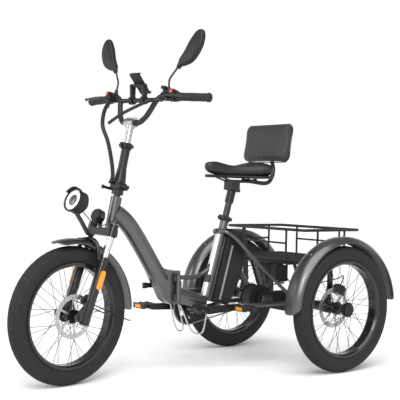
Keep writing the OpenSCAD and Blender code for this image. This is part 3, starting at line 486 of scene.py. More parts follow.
class Finish:
    """A material whose Principled shader is fed by a few expressions on Object coordinates."""

    def __init__(self, name, colour, roughness, metallic=0.0, coat=0.0, coat_roughness=0.1, shine=0.5):
        self.material = bpy.data.materials.new(name)
        self.material.use_nodes = True
        self.material.diffuse_color = (*colour, 1)
        self.tree = self.material.node_tree
        self.shader = self.tree.nodes["Principled BSDF"]
        self.set("Base Color", (*colour, 1))
        self.set("Roughness", roughness)
        self.set("Metallic", metallic)
        self.set("Coat Weight", coat)
        self.set("Coat Roughness", coat_roughness)
        self.set("Specular IOR Level", shine)
        self.colour = colour
        self.roughness = roughness
        self.where = self.node("ShaderNodeTexCoord", {}, {}, "Object")

    def set(self, socket, value):
        """Feeds a Principled socket with a constant or a value."""
        if isinstance(value, Value):
            self.tree.links.new(value.socket, self.shader.inputs[socket])
        else:
            self.shader.inputs[socket].default_value = value

    def node(self, kind, settings, inputs, output=0):
        """Any node: its settings first, then its sockets' values or links, and the output wanted."""
        node = self.tree.nodes.new(kind)
        for key, value in settings.items():
            setattr(node, key, value)
        for key, value in inputs.items():
            if isinstance(value, Value):
                self.tree.links.new(value.socket, node.inputs[key])
            else:
                node.inputs[key].default_value = value
        return Value(self.tree, node.outputs[output])

    def noise(self, scale, detail=2.0, stretch=(1, 1, 1)):
        """Soft noise from 0 to 1, scale per metre."""
        where = self.node("ShaderNodeVectorMath", {"operation": "MULTIPLY"},
                          {0: self.where, 1: stretch})
        return self.node("ShaderNodeTexNoise", {}, {"Vector": where, "Scale": scale, "Detail": detail})

    def cells(self, scale, feature="F1", output="Distance"):
        """Voronoi cells, scale per metre."""
        return self.node("ShaderNodeTexVoronoi", {"feature": feature},
                         {"Vector": self.where, "Scale": scale}, output)

    def along(self, place, direction):
        """Metres from a place along one of its local directions."""
        way = place.axes @ np.array(direction, float)
        start = float(place.origin @ way)
        dot = self.node("ShaderNodeVectorMath", {"operation": "DOT_PRODUCT"},
                        {0: self.where, 1: tuple(way)}, "Value")
        return dot - start

    def blend(self, amount, first, second):
        """Colour between first and second by amount."""
        return self.node("ShaderNodeMix", {"data_type": "RGBA"},
                         {0: amount, 6: as_colour(first), 7: as_colour(second)}, 2)

    def between(self, amount, first, second):
        """Number between first and second by amount."""
        return amount * (second - first) + first

    def bump(self, height, strength, distance):
        """Relief of the given depth in metres."""
        normal = self.node("ShaderNodeBump", {},
                           {"Height": height, "Strength": strength, "Distance": distance})
        self.set("Normal", normal)

    def mottle(self, scale, spread, rough_spread=0.06):
        """Slight colour and roughness variation, as paint, rubber or plastic has."""
        amount = self.noise(scale, 3.0)
        dark = tuple(c * (1 - spread) for c in self.colour)
        light = tuple(min(1, c * (1 + spread)) for c in self.colour)
        self.set("Base Color", self.blend(amount, dark, light))
        self.set("Roughness", self.between(amount, self.roughness - rough_spread,
                                           self.roughness + rough_spread))
        return amount


def as_colour(value):
    """A colour socket's value, with alpha."""
    return value if isinstance(value, Value) else (*value[:3], 1)


def settings():
    """The sizes and colours that a user may change."""
    return bpy.context.scene.tricycle


_finishes = {}


def finish(name):
    """The named finish, made once."""
    if name not in _finishes:
        _finishes[name] = plain(name, **PLAIN[name]) if name in PLAIN else MAKERS[name]()
    return _finishes[name]


def metallic_paint(name, colour):
    """Satin metallic paint: flakes, soft mottling, a light clear coat and faint orange peel."""
    f = Finish(name, colour, 0.30, 0.85, 0.35, 0.12)
    flakes = f.cells(2600, output="Color")
    flake = f.node("ShaderNodeSeparateColor", {}, {"Color": flakes}, 0)
    shade = f.noise(9, 3.0)
    dark = tuple(c * 0.82 for c in colour)
    light = tuple(min(1, c * 1.2) for c in colour)
    f.set("Base Color", f.blend(flake * 0.5 + shade * 0.5, dark, light))
    f.set("Roughness", f.between(shade, 0.24, 0.38))
    f.bump(f.noise(420, 2.0), 0.06, 0.0004)
    return f.material


def plain(name, colour, roughness, mottle, grain=None, **more):
    """A finish of one colour, mottled, whose grain is (kind, scale per metre, strength, depth)."""
    f = Finish(name, colour, roughness, **more)
    f.mottle(*mottle)
    if grain:
        kind, scale, strength, depth = grain
        relief = {"cells": f.cells, "noise": f.noise,
                  "fine noise": lambda scale: f.noise(scale, 3.0)}[kind](scale)
        f.bump(relief, strength, depth)
    return f.material


# satin powder coat, gloss paint, moulded plastic, rubber, cast alloy, steels and hose
PLAIN = {
    "powder_coat": dict(colour=(0.010, 0.010, 0.011), roughness=0.40, mottle=(14, 0.25, 0.07),
                        grain=("noise", 1500, 0.12, 0.0003), coat=0.12, coat_roughness=0.3, shine=0.35),
    "gloss_black": dict(colour=(0.008, 0.008, 0.009), roughness=0.24, mottle=(20, 0.2, 0.05),
                        grain=("noise", 500, 0.04, 0.0003), coat=0.35, coat_roughness=0.06, shine=0.35),
    "black_plastic": dict(colour=(0.012, 0.012, 0.013), roughness=0.46, mottle=(30, 0.18, 0.06),
                          grain=("cells", 1800, 0.14, 0.0003), shine=0.3),
    "grip_rubber": dict(colour=(0.018, 0.018, 0.019), roughness=0.60, mottle=(60, 0.2, 0.06),
                        grain=("fine noise", 1100, 0.25, 0.0004), shine=0.3),
    "dark_alloy": dict(colour=(0.022, 0.022, 0.024), roughness=0.38, mottle=(26, 0.25, 0.07),
                       grain=("fine noise", 800, 0.12, 0.0004), metallic=0.5, coat=0.1,
                       coat_roughness=0.2, shine=0.35),
    "hose_black": dict(colour=(0.011, 0.011, 0.012), roughness=0.40, mottle=(80, 0.3, 0.08),
                       grain=("noise", 700, 0.1, 0.0003), shine=0.35),
    "button_red": dict(colour=(0.72, 0.015, 0.012), roughness=0.30, mottle=(120, 0.12, 0.05), coat=0.4),
    "spoke_steel": dict(colour=(0.09, 0.09, 0.095), roughness=0.30, mottle=(50, 0.25, 0.06),
                        metallic=1.0),
    "chain_steel": dict(colour=(0.20, 0.19, 0.18), roughness=0.34, mottle=(120, 0.35, 0.08),
                        metallic=1.0),
    "bolt_steel": dict(colour=(0.42, 0.42, 0.44), roughness=0.26, mottle=(200, 0.2, 0.06),
                       metallic=1.0),
}


def make_tyre_rubber():
    """Matt tyre rubber, dusty on the tread, with a fine cast grain."""
    f = Finish("tyre_rubber", (0.010, 0.010, 0.011), 0.66, shine=0.3)
    dust = f.noise(35, 4.0)
    f.set("Base Color", f.blend(dust, (0.007, 0.007, 0.008), (0.019, 0.019, 0.020)))
    f.set("Roughness", f.between(dust, 0.58, 0.78))
    f.bump(f.noise(900, 3.0), 0.2, 0.0005)
    return f.material


def make_alloy():
    """Satin extruded aluminium, drawn along the seat tube; the clamp above it is black, and a short band on one side
    is painted black as the painted shade inside its slot.
    """
    f = Finish("drawn_alloy", (0.66, 0.67, 0.69), 0.34, 1.0)
    up = f.along(SEAT, (0, 0, 1))
    across = f.along(SEAT, (0, 1, 0))
    lines = f.noise(160, 3.0, (6, 6, 0.5))
    clamp = up > 0.345
    # painted shade: this band is painted black and non-metallic for the shade inside the slot
    slot = (up > 0.062) * (up < 0.098) * (across < -0.012)
    # black joins the real black clamp and the painted shade of the slot
    black = clamp.either(slot)
    f.set("Base Color", f.blend(black, f.blend(lines, (0.58, 0.59, 0.61), (0.80, 0.81, 0.83)),
                                (0.018, 0.018, 0.02)))
    f.set("Metallic", 1 - black)
    f.set("Roughness", f.between(lines, 0.26, 0.42))
    f.bump(lines, 0.08, 0.0004)
    return f.material


def make_chrome():
    """Hard chrome of the fork's inner tubes with a thin film of oil."""
    f = Finish("hard_chrome", (0.80, 0.81, 0.83), 0.10, 1.0)
    film = f.noise(60, 3.0)
    f.set("Roughness", f.between(film, 0.06, 0.16))
    f.set("Base Color", f.blend(film, (0.72, 0.73, 0.75), (0.86, 0.87, 0.89)))
    return f.material


def make_steel():
    """Brushed steel of the stem tube and the folding stand."""
    f = Finish("brushed_steel", (0.50, 0.50, 0.52), 0.28, 1.0)
    lines = f.noise(300, 2.0, (1, 1, 0.1))
    f.set("Base Color", f.blend(lines, (0.40, 0.40, 0.42), (0.62, 0.62, 0.64)))
    f.set("Roughness", f.between(lines, 0.2, 0.36))
    return f.material


def hub_finish(name, place, low, high):
    """Black hub whose brake disc, the layer from low to high metres along X, is ground steel."""
    f = Finish(name, (0.045, 0.045, 0.05), 0.34, 0.7)
    x = f.along(place, (1, 0, 0))
    y = f.along(place, (0, 1, 0))
    z = f.along(place, (0, 0, 1))
    radius = (y * y + z * z).root()
    disc = (x > low) * (x < high) * (radius > 0.026)
    rings = radius.wave(9000.0) * 0.5 + 0.5
    heat = f.noise(30, 2.0)
    steel = f.blend(rings * 0.4 + heat * 0.4, (0.34, 0.34, 0.35), (0.62, 0.61, 0.60))
    black = f.blend(heat, (0.016, 0.016, 0.018), (0.030, 0.030, 0.032))
    f.set("Base Color", f.blend(disc, black, steel))
    f.set("Metallic", f.between(disc, 0.7, 1.0))
    f.set("Roughness", f.between(heat, 0.26, 0.38))
    return f.material


def amber(f):
    """Amber of the reflectors, each small prism painted lighter at its middle as a painted glint."""
    # painted glint: lighter amber at each cell's middle, deeper amber at its edges
    return f.blend(f.cells(420), (0.95, 0.42, 0.03), (0.80, 0.16, 0.005))


def make_fork_black():
    """Gloss black sliding legs, the reflectors on their outer sides amber."""
    f = Finish("fork_black", (0.009, 0.009, 0.010), 0.26, 0.0, 0.35, 0.08, shine=0.35)
    side = abs(f.along(HEAD, (1, 0, 0)))
    up = f.along(HEAD, (0, 0, 1))
    lens = (side > 0.0851) * (up < -0.150) * (up > -0.285)
    shade = f.noise(20, 3.0)
    black = f.blend(shade, (0.007, 0.007, 0.008), (0.014, 0.014, 0.015))
    # the amber lens carries the painted glints of its prisms
    f.set("Base Color", f.blend(lens, black, amber(f)))
    f.set("Roughness", f.between(shade, 0.2, 0.32))
    return f.material


def pedal_finish(name, place):
    """Black pedal body with amber reflectors in its front and rear edges."""
    f = Finish(name, (0.024, 0.024, 0.026), 0.5)
    reach = abs(f.along(place, (0, 1, 0)))
    lens = reach > 0.0362
    shade = f.noise(60, 3.0)
    black = f.blend(shade, (0.010, 0.010, 0.011), (0.024, 0.024, 0.026))
    # the amber lens carries the painted glints of its prisms
    f.set("Base Color", f.blend(lens, black, amber(f)))
    f.set("Roughness", f.between(lens, 0.52, 0.18))
    f.bump(f.noise(900, 3.0), 0.2, 0.0004)
    return f.material


def make_battery_case():
    """Anodised black battery case with a bright drawn strip along each side."""
    f = Finish("battery_case", (0.012, 0.012, 0.013), 0.40, 0.2, 0.15, 0.2, shine=0.35)
    side = abs(f.along(REAR, (1, 0, 0)))
    strip = side > 0.03805
    shade = f.noise(18, 3.0)
    f.set("Base Color", f.blend(strip, f.blend(shade, (0.009, 0.009, 0.010), (0.018, 0.018, 0.019)),
                                (0.62, 0.63, 0.65)))
    f.set("Metallic", f.between(strip, 0.15, 1.0))
    f.set("Roughness", f.between(shade, 0.34, 0.46))
    f.bump(f.cells(1500), 0.1, 0.0003)
    return f.material


def make_vinyl():
    """Saddle vinyl: leather grain of small cells with soft creases, their hollows painted darker and their rises
    lighter as painted shade and light.
    """
    f = Finish("saddle_vinyl", (0.012, 0.012, 0.013), 0.38, shine=0.4)
    grain = f.cells(420)
    crease_relief_and_shade = f.noise(28, 4.0)
    # painted shade and light: the colour follows the crease relief, darker in its hollows and lighter on its rises
    f.set("Base Color", f.blend(crease_relief_and_shade, (0.009, 0.009, 0.010), (0.018, 0.018, 0.019)))
    f.set("Roughness", f.between(grain, 0.32, 0.50))
    f.bump(grain * 0.8 + crease_relief_and_shade * 0.5, 0.35, 0.0006)
    return f.material


def make_pad_vinyl():
    """Backrest vinyl, greyer and flatter, with the same grain."""
    f = Finish("backrest_vinyl", (0.024, 0.026, 0.027), 0.46, shine=0.35)
    grain = f.cells(420)
    wear = f.noise(16, 4.0)
    band = abs(f.along(BACKREST, (1, 0, 0)))
    f.set("Base Color", f.blend(wear, (0.019, 0.021, 0.022), (0.032, 0.035, 0.036)))
    f.set("Roughness", f.between(grain * 0.7 + band, 0.40, 0.56))
    f.bump(grain * 0.8 + wear * 0.3, 0.3, 0.0006)
    return f.material


def make_mirror_glass():
    """Silvered glass."""
    f = Finish("mirror_glass", (0.90, 0.92, 0.93), 0.03, 1.0)
    f.set("Roughness", f.between(f.noise(20), 0.015, 0.05))
    return f.material


def make_lamp_ring():
    """White light ring behind its lens, with small cells in its colour, glow and relief."""
    f = Finish("lamp_ring", (0.88, 0.90, 0.90), 0.22, 0.0, 0.8, 0.05)
    cell = f.cells(300)
    f.set("Base Color", f.blend(cell, (0.95, 0.96, 0.96), (0.70, 0.73, 0.74)))
    f.set("Emission Color", f.blend(cell, (1.0, 1.0, 0.98), (0.7, 0.75, 0.78)))
    f.shader.inputs["Emission Strength"].default_value = 0.35
    f.bump(cell, 0.3, 0.0006)
    return f.material


def make_lamp_core():
    """Dark projector lens in the middle of the lamp."""
    f = Finish("lamp_core", (0.03, 0.035, 0.04), 0.08, 0.3, 1.0, 0.03)
    f.set("Base Color", f.blend(f.noise(60), (0.02, 0.024, 0.03), (0.10, 0.11, 0.12)))
    return f.material


def make_screen():
    """Display glass, dark with a faint green-grey field."""
    f = Finish("display_glass", (0.03, 0.04, 0.04), 0.12, 0.0, 0.9, 0.05)
    f.set("Base Color", f.blend(f.noise(90), (0.020, 0.026, 0.028), (0.045, 0.055, 0.055)))
    return f.material


MAKERS = {
    "frame_paint": lambda: metallic_paint("frame_paint", tuple(settings().frame_colour)),
    "guard_paint": lambda: metallic_paint("guard_paint", tuple(settings().guard_colour)),
    "front_hub": lambda: hub_finish("front_hub_alloy", AXLE, 0.0310, 0.0334),
    "left_hub": lambda: hub_finish("left_hub_alloy", WHEELS["left"], -0.0501, -0.0479),
    "right_hub": lambda: hub_finish("right_hub_alloy", WHEELS["right"], 0.0479, 0.0501),
    "left_pedal": lambda: pedal_finish("left_pedal_plastic",
                                       Place(pivot("pedal_left_spin"), np.eye(3))),
    "right_pedal": lambda: pedal_finish("right_pedal_plastic",
                                        Place(pivot("pedal_right_spin"), np.eye(3))),
    "tyre_rubber": make_tyre_rubber, "alloy": make_alloy, "chrome": make_chrome, "steel": make_steel,
    "fork_black": make_fork_black, "battery_case": make_battery_case, "vinyl": make_vinyl,
    "pad_vinyl": make_pad_vinyl, "mirror_glass": make_mirror_glass, "lamp_ring": make_lamp_ring,
    "lamp_core": make_lamp_core, "screen": make_screen,
}

NODE_FINISH = {
    "frame_paint": "front_frame rear_frame",
    "powder_coat": "axle_carrier basket saddle_frame handlebar stem_lower frame_latch seat_clamp_lever "
                   "stem_lever brake_lever_left brake_lever_right derailleur",
    "gloss_black": "left_rim right_rim front_rim fork_crown horn seat_post",
    "black_plastic": "bar_fittings throttle phone_plate controller_box",
    "dark_alloy": "motor_hub crank_left crank_right rear_calipers front_caliper stem_base stem_latch",
    "spoke_steel": "left_spokes right_spokes front_spokes",
    "alloy": "seat_tube_fittings", "chrome": "stanchions", "steel": "stem_upper fold_stand",
    "front_hub": "front_hub", "left_hub": "left_hub", "right_hub": "right_hub",
    "fork_black": "fork_lowers", "left_pedal": "pedal_left", "right_pedal": "pedal_right",
    "battery_case": "battery", "button_red": "button_left button_right",
}

BACKREST = REAR.child([0, -113, 1000], turn_x(-8))


# ---------- wheels and guards ----------

TYRE_RADIUS = 275
TYRE_WIDTH = 76


def tread(theta, phi, blocks, depth):
    """Depth in millimetres cut from the tyre at angle theta round the axle and phi round the section:
    two long zigzag grooves, slanted cross grooves offset between the rows, and shoulders cut down evenly."""
    u = theta * blocks / (2 * np.pi)
    degrees = np.degrees(phi)
    zigzag = 2.0 * np.abs(2 * (u % 1) - 1) - 1.0
    row = np.abs(degrees)
    long_groove = np.minimum(np.abs(row - (13 + zigzag)), np.abs(row - (36 + zigzag)))
    cut = 1 - smooth_step(1.6, 3.2, long_groove)
    slant = u + degrees / 70
    middle = np.abs((slant + 0.5 * (degrees > 0)) % 1 - 0.5)
    cross = (1 - smooth_step(0.05, 0.11, middle)) * (row > 13)
    centre = np.abs((slant + 0.25) % 1 - 0.5)
    cross = np.maximum(cross, (1 - smooth_step(0.05, 0.10, centre)) * (row < 13) * 0.7)
    shoulder = smooth_step(58, 64, row)
    cut = np.maximum(cut, cross) * (1 - shoulder)
    return depth * np.maximum(cut, 0.9 * shoulder * (row < 180))


def tyre_grid(place, blocks, depth):
    """The tyre round its axle X: radius R + p cos(phi) and width p sin(phi), where p is the tube's
    radius less the tread's depth, with two thin rings standing out of each sidewall."""
    ring, tube_radius = TYRE_RADIUS - TYRE_WIDTH / 2, TYRE_WIDTH / 2
    end = math.acos(-33 / tube_radius)
    crown = np.radians(62)
    phi = np.concatenate([np.linspace(-end, -crown, 14, endpoint=False),
                          np.linspace(-crown, crown, 58, endpoint=False), np.linspace(crown, end, 15)])
    theta = np.linspace(0, 2 * np.pi, 720, endpoint=False)[:, None]
    phi = phi[None, :]
    row = np.abs(np.degrees(phi))
    rings = 0.8 * np.exp(-((row - 84) / 1.8) ** 2) + 0.8 * np.exp(-((row - 122) / 2.4) ** 2)
    p = tube_radius - tread(theta, phi, blocks, depth) + rings * (row > 64)
    r = ring + p * np.cos(phi)
    return place(np.stack([p * np.sin(phi) + 0 * theta, r * np.sin(theta), r * np.cos(theta)], axis=-1))


def guard_grid(place, width, radius, drop, thick, front, rear):
    """A mudguard round X: across u from -1 to 1 its radius is R - drop |u|^2.6, its edges are rolled
    inward into a bead, and its two ends are rounded in plan by quarter circles."""
    arc = radius * math.radians(rear - front)
    corner = 0.42 * width
    ends = corner * (1 - np.cos(np.linspace(0, np.pi / 2, 12)))
    s = np.concatenate([ends, np.linspace(corner, arc - corner, 110)[1:-1], (arc - ends)[::-1]])
    near = np.clip(corner - np.minimum(s, arc - s), 0, corner)
    half = (width / 2 - corner + np.sqrt(corner ** 2 - near ** 2))[:, None]
    u = np.sin(np.linspace(-np.pi / 2, np.pi / 2, 33))[None, :]
    x = half * u
    outer = radius - drop * np.abs(2 * x / width) ** 2.6
    bead = 1.8 * smooth_step(0.9, 1.0, np.abs(u)) + 0 * half
    shut = smooth_step(0, 3.0, np.minimum(s, arc - s))[:, None]
    inner = outer - (thick + bead) * (0.35 + 0.65 * shut)
    outer = outer - 0.6 * smooth_step(0.97, 1.0, np.abs(u))
    inner[[0, -1]] = outer[[0, -1]] = (outer[[0, -1]] + inner[[0, -1]]) / 2
    a = (math.radians(front) + s / radius)[:, None]
    sides = [np.stack([x, r * np.sin(a), r * np.cos(a)], axis=-1) for r in (outer, inner[:, ::-1])]
    sides[1][..., 0] = x[:, ::-1]
    return place(np.concatenate(sides, axis=1))


def bolt_head(place, radius, height):
    """A domed hexagon-socket bolt head standing on local Z."""
    return lathe(place, [(0, 0), (radius, 0), (radius, height * 0.5), (radius * 0.86, height * 0.86),
                         (radius * 0.6, height), (radius * 0.5, height), (radius * 0.46, height * 0.45),
                         (0, height * 0.4)], 24)


# width, radius, drop at the edges, thickness, and the arc's first and last angle
REAR_GUARD = (97, 315, 24, 2.6, -92, 86)
FRONT_GUARD = (86, 305, 16, 2.6, -16, 90)
FRONT_GUARD_TILT = 11.5
GUARD_SEAT = 314.4


class TRICYCLE_OT_tyres(Operator):
    """Three fat tyres with a block tread"""
    bl_idname = "tricycle.tyres"
    bl_label = "Tyres"

    def execute(self, context):
        s = settings()
        for name, place in WHEELS.items():
            grid = tyre_grid(place, s.tread_blocks, s.tread_depth / MM)
            skin(f"{name}_tyre_tread", [grid], finish("tyre_rubber"), f"{name}_wheel",
                 [f"{name}_tyre"], loop=True, sharp=50, slot="tyre")
        return {"FINISHED"}


class TRICYCLE_OT_guards(Operator):
    """Mudguards with rolled edges, their stays and bolts"""
    bl_idname = "tricycle.guards"
    bl_label = "Mudguards"

    def execute(self, context):
        shells, bolts = [], []
        for side, name in ((1, "left"), (-1, "right")):
            middle = WHEELS[name].child([-16 * side, 14, 0])
            shells.append(guard_grid(middle, *REAR_GUARD))
            for a in (-40, 34):
                angle = math.radians(a)
                top = middle.child([0, GUARD_SEAT * math.sin(angle), GUARD_SEAT * math.cos(angle)],
                                   turn_x(-a))
                bolts += [bolt_head(top.child([12 * side * k, 0, 0]), 5, 3) for k in (-1, 1)]
        skin("rear_guard_shells", shells, finish("guard_paint"), "rear_frame", ["rear_mudguards"],
             slot="guard")
        skin("rear_guard_bolts", bolts, finish("bolt_steel"), "rear_frame", slot="bright")
        tilted = AXLE.child([0, 0, 0], turn_x(FRONT_GUARD_TILT))
        skin("front_guard_shell", [guard_grid(tilted, *FRONT_GUARD)], finish("guard_paint"),
             "fork_lowers", ["front_mudguard"], slot="guard")
        stay = np.array([[41, 286, 20], [49, 272, 20.6], [52, 255, 22], [54, 158, 41], [56, 60, 60]])
        stays = [tube(AXLE(curve(stay * [side, 1, 1], 8)), 2.5 * MM, 12) for side in (-1, 1)]
        middle = tilted([[0, 30, 303], [0, 60, 303], [0, 80.5, 303]])
        strap = tube(middle, flat_bar(8, 2.8), 32, HEAD.axes[:, 0])
        skin("front_guard_stays", stays + [strap], finish("powder_coat"), "fork_lowers",
             ["front_mudguard"], slot="black_paint")
        return {"FINISHED"}


# ---------- padding ----------

def flat_bar(a, b, power=8):
    """A section's radius in metres for a bar 2a wide along the fixed vector and 2b thick, as a
    rounded rectangle |cos v / a|^n + |sin v / b|^n = 1."""
    v = np.linspace(0, 2 * np.pi, 32, endpoint=False)
    r = (np.abs(np.cos(v) / a) ** power + np.abs(np.sin(v) / b) ** power) ** (-1 / power)
    return MM * r[None, :]


def puff(piece, voxel, pressure, cap):
    """Swells a closed form as stuffed fabric: voxel remesh, cloth under pressure for 20 frames with no
    point moving further than cap, then one subdivision."""
    context = bpy.context
    context.view_layer.objects.active = piece
    piece.select_set(True)
    remesh = piece.modifiers.new("Remesh", "REMESH")
    remesh.mode = "VOXEL"
    remesh.voxel_size = voxel
    remesh.use_smooth_shade = True
    bake(piece)
    count = len(piece.data.vertices)
    start = np.empty(count * 3)
    piece.data.vertices.foreach_get("co", start)
    start = start.reshape(-1, 3)
    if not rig.quick():
        cloth = piece.modifiers.new("Cloth", "CLOTH")
        cloth.settings.use_pressure = True
        cloth.settings.uniform_pressure_force = pressure
        cloth.settings.tension_stiffness = 30
        cloth.settings.compression_stiffness = 30
        cloth.settings.bending_stiffness = 2
        cloth.settings.effector_weights.gravity = 0
        cloth.point_cache.frame_start, cloth.point_cache.frame_end = 1, 20
        for number in range(1, 21):
            context.scene.frame_set(number)
        bake(piece)
        context.scene.frame_set(1)
    end = np.empty(count * 3)
    piece.data.vertices.foreach_get("co", end)
    move = end.reshape(-1, 3) - start
    reach = np.linalg.norm(move, axis=1)[:, None]
    points = start + move * np.minimum(1, cap / np.maximum(reach, 1e-9))
    piece.data.vertices.foreach_set("co", points.ravel())
    divide = piece.modifiers.new("Subdivision", "SUBSURF")
    divide.levels = divide.render_levels = 1
    bake(piece)
    piece.select_set(False)


def bake(piece):
    """Applies every modifier by taking the evaluated mesh."""
    graph = bpy.context.evaluated_depsgraph_get()
    mesh = bpy.data.meshes.new_from_object(piece.evaluated_get(graph), depsgraph=graph)
    piece.modifiers.clear()
    old, piece.data = piece.data, mesh
    bpy.data.meshes.remove(old)


def sculpt(piece, place, move):
    """Moves points by a function of their local millimetres, and smooths the shading."""
    mesh = piece.data
    points = np.empty(len(mesh.vertices) * 3)
    mesh.vertices.foreach_get("co", points)
    local = (points.reshape(-1, 3) - place.origin) @ place.axes / MM
    mesh.vertices.foreach_set("co", place(move(local)).ravel())
    mesh.update()
    mesh.shade_smooth()


SADDLE_ROWS = np.array([
    [-472, 3, 892, 884], [-469, 13, 899, 873], [-460, 21, 904, 864], [-445, 25, 906, 857],
    [-420, 26, 905, 852], [-390, 27, 900, 847], [-355, 33, 895, 844], [-320, 46, 892, 843],
    [-285, 66, 893, 842], [-250, 88, 898, 841], [-218, 106, 904, 841], [-188, 113, 908, 841],
    [-168, 107, 908, 844], [-156, 86, 903, 851], [-151, 50, 895, 862], [-150, 10, 886, 874]], float)


def saddle_rows():
    """The saddle's rows on a smooth curve."""
    return np.column_stack([curve(SADDLE_ROWS[:, :3], 6), curve(SADDLE_ROWS[:, 1:], 6)[:, 2]])


def saddle_section(rows, power, sides=56):
    """Sections across the saddle: a superellipse |x / w|^n + |z / h|^n = 1 about the middle height, w
    and h following the saddle's half width and height along its length."""
    v = np.linspace(0, 2 * np.pi, sides, endpoint=False)[None, :]
    y, w, top, low = (rows[:, k][:, None] for k in range(4))
    c, s = np.cos(v), np.sin(v)
    x = w * np.sign(c) * np.abs(c) ** (2 / power)
    z = (top + low) / 2 + (top - low) / 2 * np.sign(s) * np.abs(s) ** (2 / power)
    grid = np.stack([x, y + 0 * v, z], axis=-1)
    ends = grid.mean(axis=1, keepdims=True)[[0, -1]] + 0 * grid[[0, -1]]
    return np.concatenate([ends[:1], grid, ends[1:]])


def saddle_half(y):
    """The saddle's half width at y."""
    rows = saddle_rows()
    return np.interp(y, rows[:, 0], rows[:, 1])


def shape_saddle(p):
    """Dips the middle channel, lifts the two rear lobes and draws a seam round the skirt."""
    x, y, z = p[:, 0], p[:, 1], p[:, 2].copy()
    rear = smooth_step(-380, -230, y) * (1 - smooth_step(-185, -152, y))
    upper = smooth_step(868, 885, z)
    z -= 6.0 * np.exp(-(x / 17) ** 2) * rear * upper
    z -= 2.5 * np.exp(-((y + 345) / 45) ** 2) * upper
    seam = 880 + 8 * smooth_step(-300, -200, y)
    groove = np.exp(-((z - seam) / 1.9) ** 2) * (np.abs(x) > 0.55 * saddle_half(y))
    middle = np.column_stack([0 * x, np.clip(y, -445, -190), 0 * x + 876])
    out = np.column_stack([x, y, z]) - middle
    out /= np.maximum(np.linalg.norm(out, axis=1), 1)[:, None]
    moved = np.column_stack([x, y, z]) - 1.6 * groove[:, None] * out
    moved[:, 2] = np.clip(moved[:, 2], 838.0, 913.5)
    return moved


class TRICYCLE_OT_saddle(Operator):
    """Padded saddle with a relief channel and a skirt seam, on a moulded pan"""
    bl_idname = "tricycle.saddle"
    bl_label = "Saddle"

    def execute(self, context):
        rows = saddle_rows()
        pad = skin("saddle_cushion", [REAR(saddle_section(rows, 2.35))], finish("vinyl"))
        puff(pad, 0.004, 3.0, 0.003)
        sculpt(pad, REAR, shape_saddle)
        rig.replaces(pad, "saddle")
        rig.slot(pad, "vinyl")
        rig.padded(pad, 0.8)
        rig.ride(pad, "saddle")
        pan_rows = rows.copy()
        pan_rows[:, 1] = np.maximum(pan_rows[:, 1] - 2.0, 1.0)
        pan_rows[:, 2], pan_rows[:, 3] = 849.0, 835.5
        pan_rows[:, 0] = -311 + (pan_rows[:, 0] + 311) * 0.985
        skin("saddle_pan", [REAR(saddle_section(pan_rows, 3.6))], finish("black_plastic"), "saddle",
             slot="black_plastic")
        return {"FINISHED"}


PAD = BACKREST.child([0, 0, 0], turn_x(90))
PAD_WIDTH = 300
PAD_HEIGHT = 178


def inside_edge(x, y, width, height, radius):
    """Distance inward from a rounded rectangle's edge."""
    qx, qy = np.abs(x) - width / 2 + radius, np.abs(y) - height / 2 + radius
    outside = np.hypot(np.maximum(qx, 0), np.maximum(qy, 0)) + np.minimum(np.maximum(qx, qy), 0)
    return radius - outside


def shape_pad(p):
    """Sinks the seam that runs round the front panel and keeps the back flat."""
    x, y, z = p[:, 0], p[:, 1], p[:, 2].copy()
    edge = inside_edge(x, y, PAD_WIDTH, PAD_HEIGHT, 34)
    front = smooth_step(4, 12, z)
    groove = np.exp(-((edge - 16) / 2.0) ** 2)
    pucker = 0.35 * np.sin(0.33 * x) * np.sin(0.29 * y + 0.6) * np.exp(-((edge - 16) / 9) ** 2)
    z += front * (-2.6 * groove + pucker + 1.2 * smooth_step(18, 44, edge))
    return np.column_stack([x, y, np.clip(z, -17.0, 29.5)])


class TRICYCLE_OT_backrest(Operator):
    """Padded backrest with a seam round its front panel"""
    bl_idname = "tricycle.backrest"
    bl_label = "Backrest"

    def execute(self, context):
        outline = rounded(PAD_WIDTH - 5, PAD_HEIGHT - 5, 32, 10)
        grid = pressed(PAD, outline, soft_rows(outline, -16.5, 21, 8, 14, 5))
        pad = skin("backrest_cushion", [grid], finish("pad_vinyl"))
        puff(pad, 0.004, 4.0, 0.004)
        sculpt(pad, PAD, shape_pad)
        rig.replaces(pad, "backrest_pad")
        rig.slot(pad, "vinyl")
        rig.padded(pad, 0.85)
        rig.ride(pad, "saddle")
        around = rounded(PAD_WIDTH - 4, PAD_HEIGHT - 4, 32, 12)
        ring = np.column_stack([around, np.full(len(around), -8.0)])
        closed = np.vstack([ring, ring[:2]])
        skin("backrest_piping", [tube(PAD(closed), 2.2 * MM, 10, (0, 0.14, 1))], finish("vinyl"),
             "saddle", slot="vinyl")
        return {"FINISHED"}


# ---------- bars ----------

def bar_path(side):
    """The handlebar's centre line on one side."""
    points = [[36, 0, 0], [58, 1, 6], [82, 5, 30], [100, 10, 66], [112, 14, 94],
              [126, bar_back(126), 109], [138, bar_back(138), 115.4], [150, bar_back(150), 116],
              [170, bar_back(170), 116], [GRIP_START, bar_back(GRIP_START), 116],
              [BAR_END, bar_back(BAR_END), 116]]
    return curve(np.array(points) * [side, 1, 1], 8)


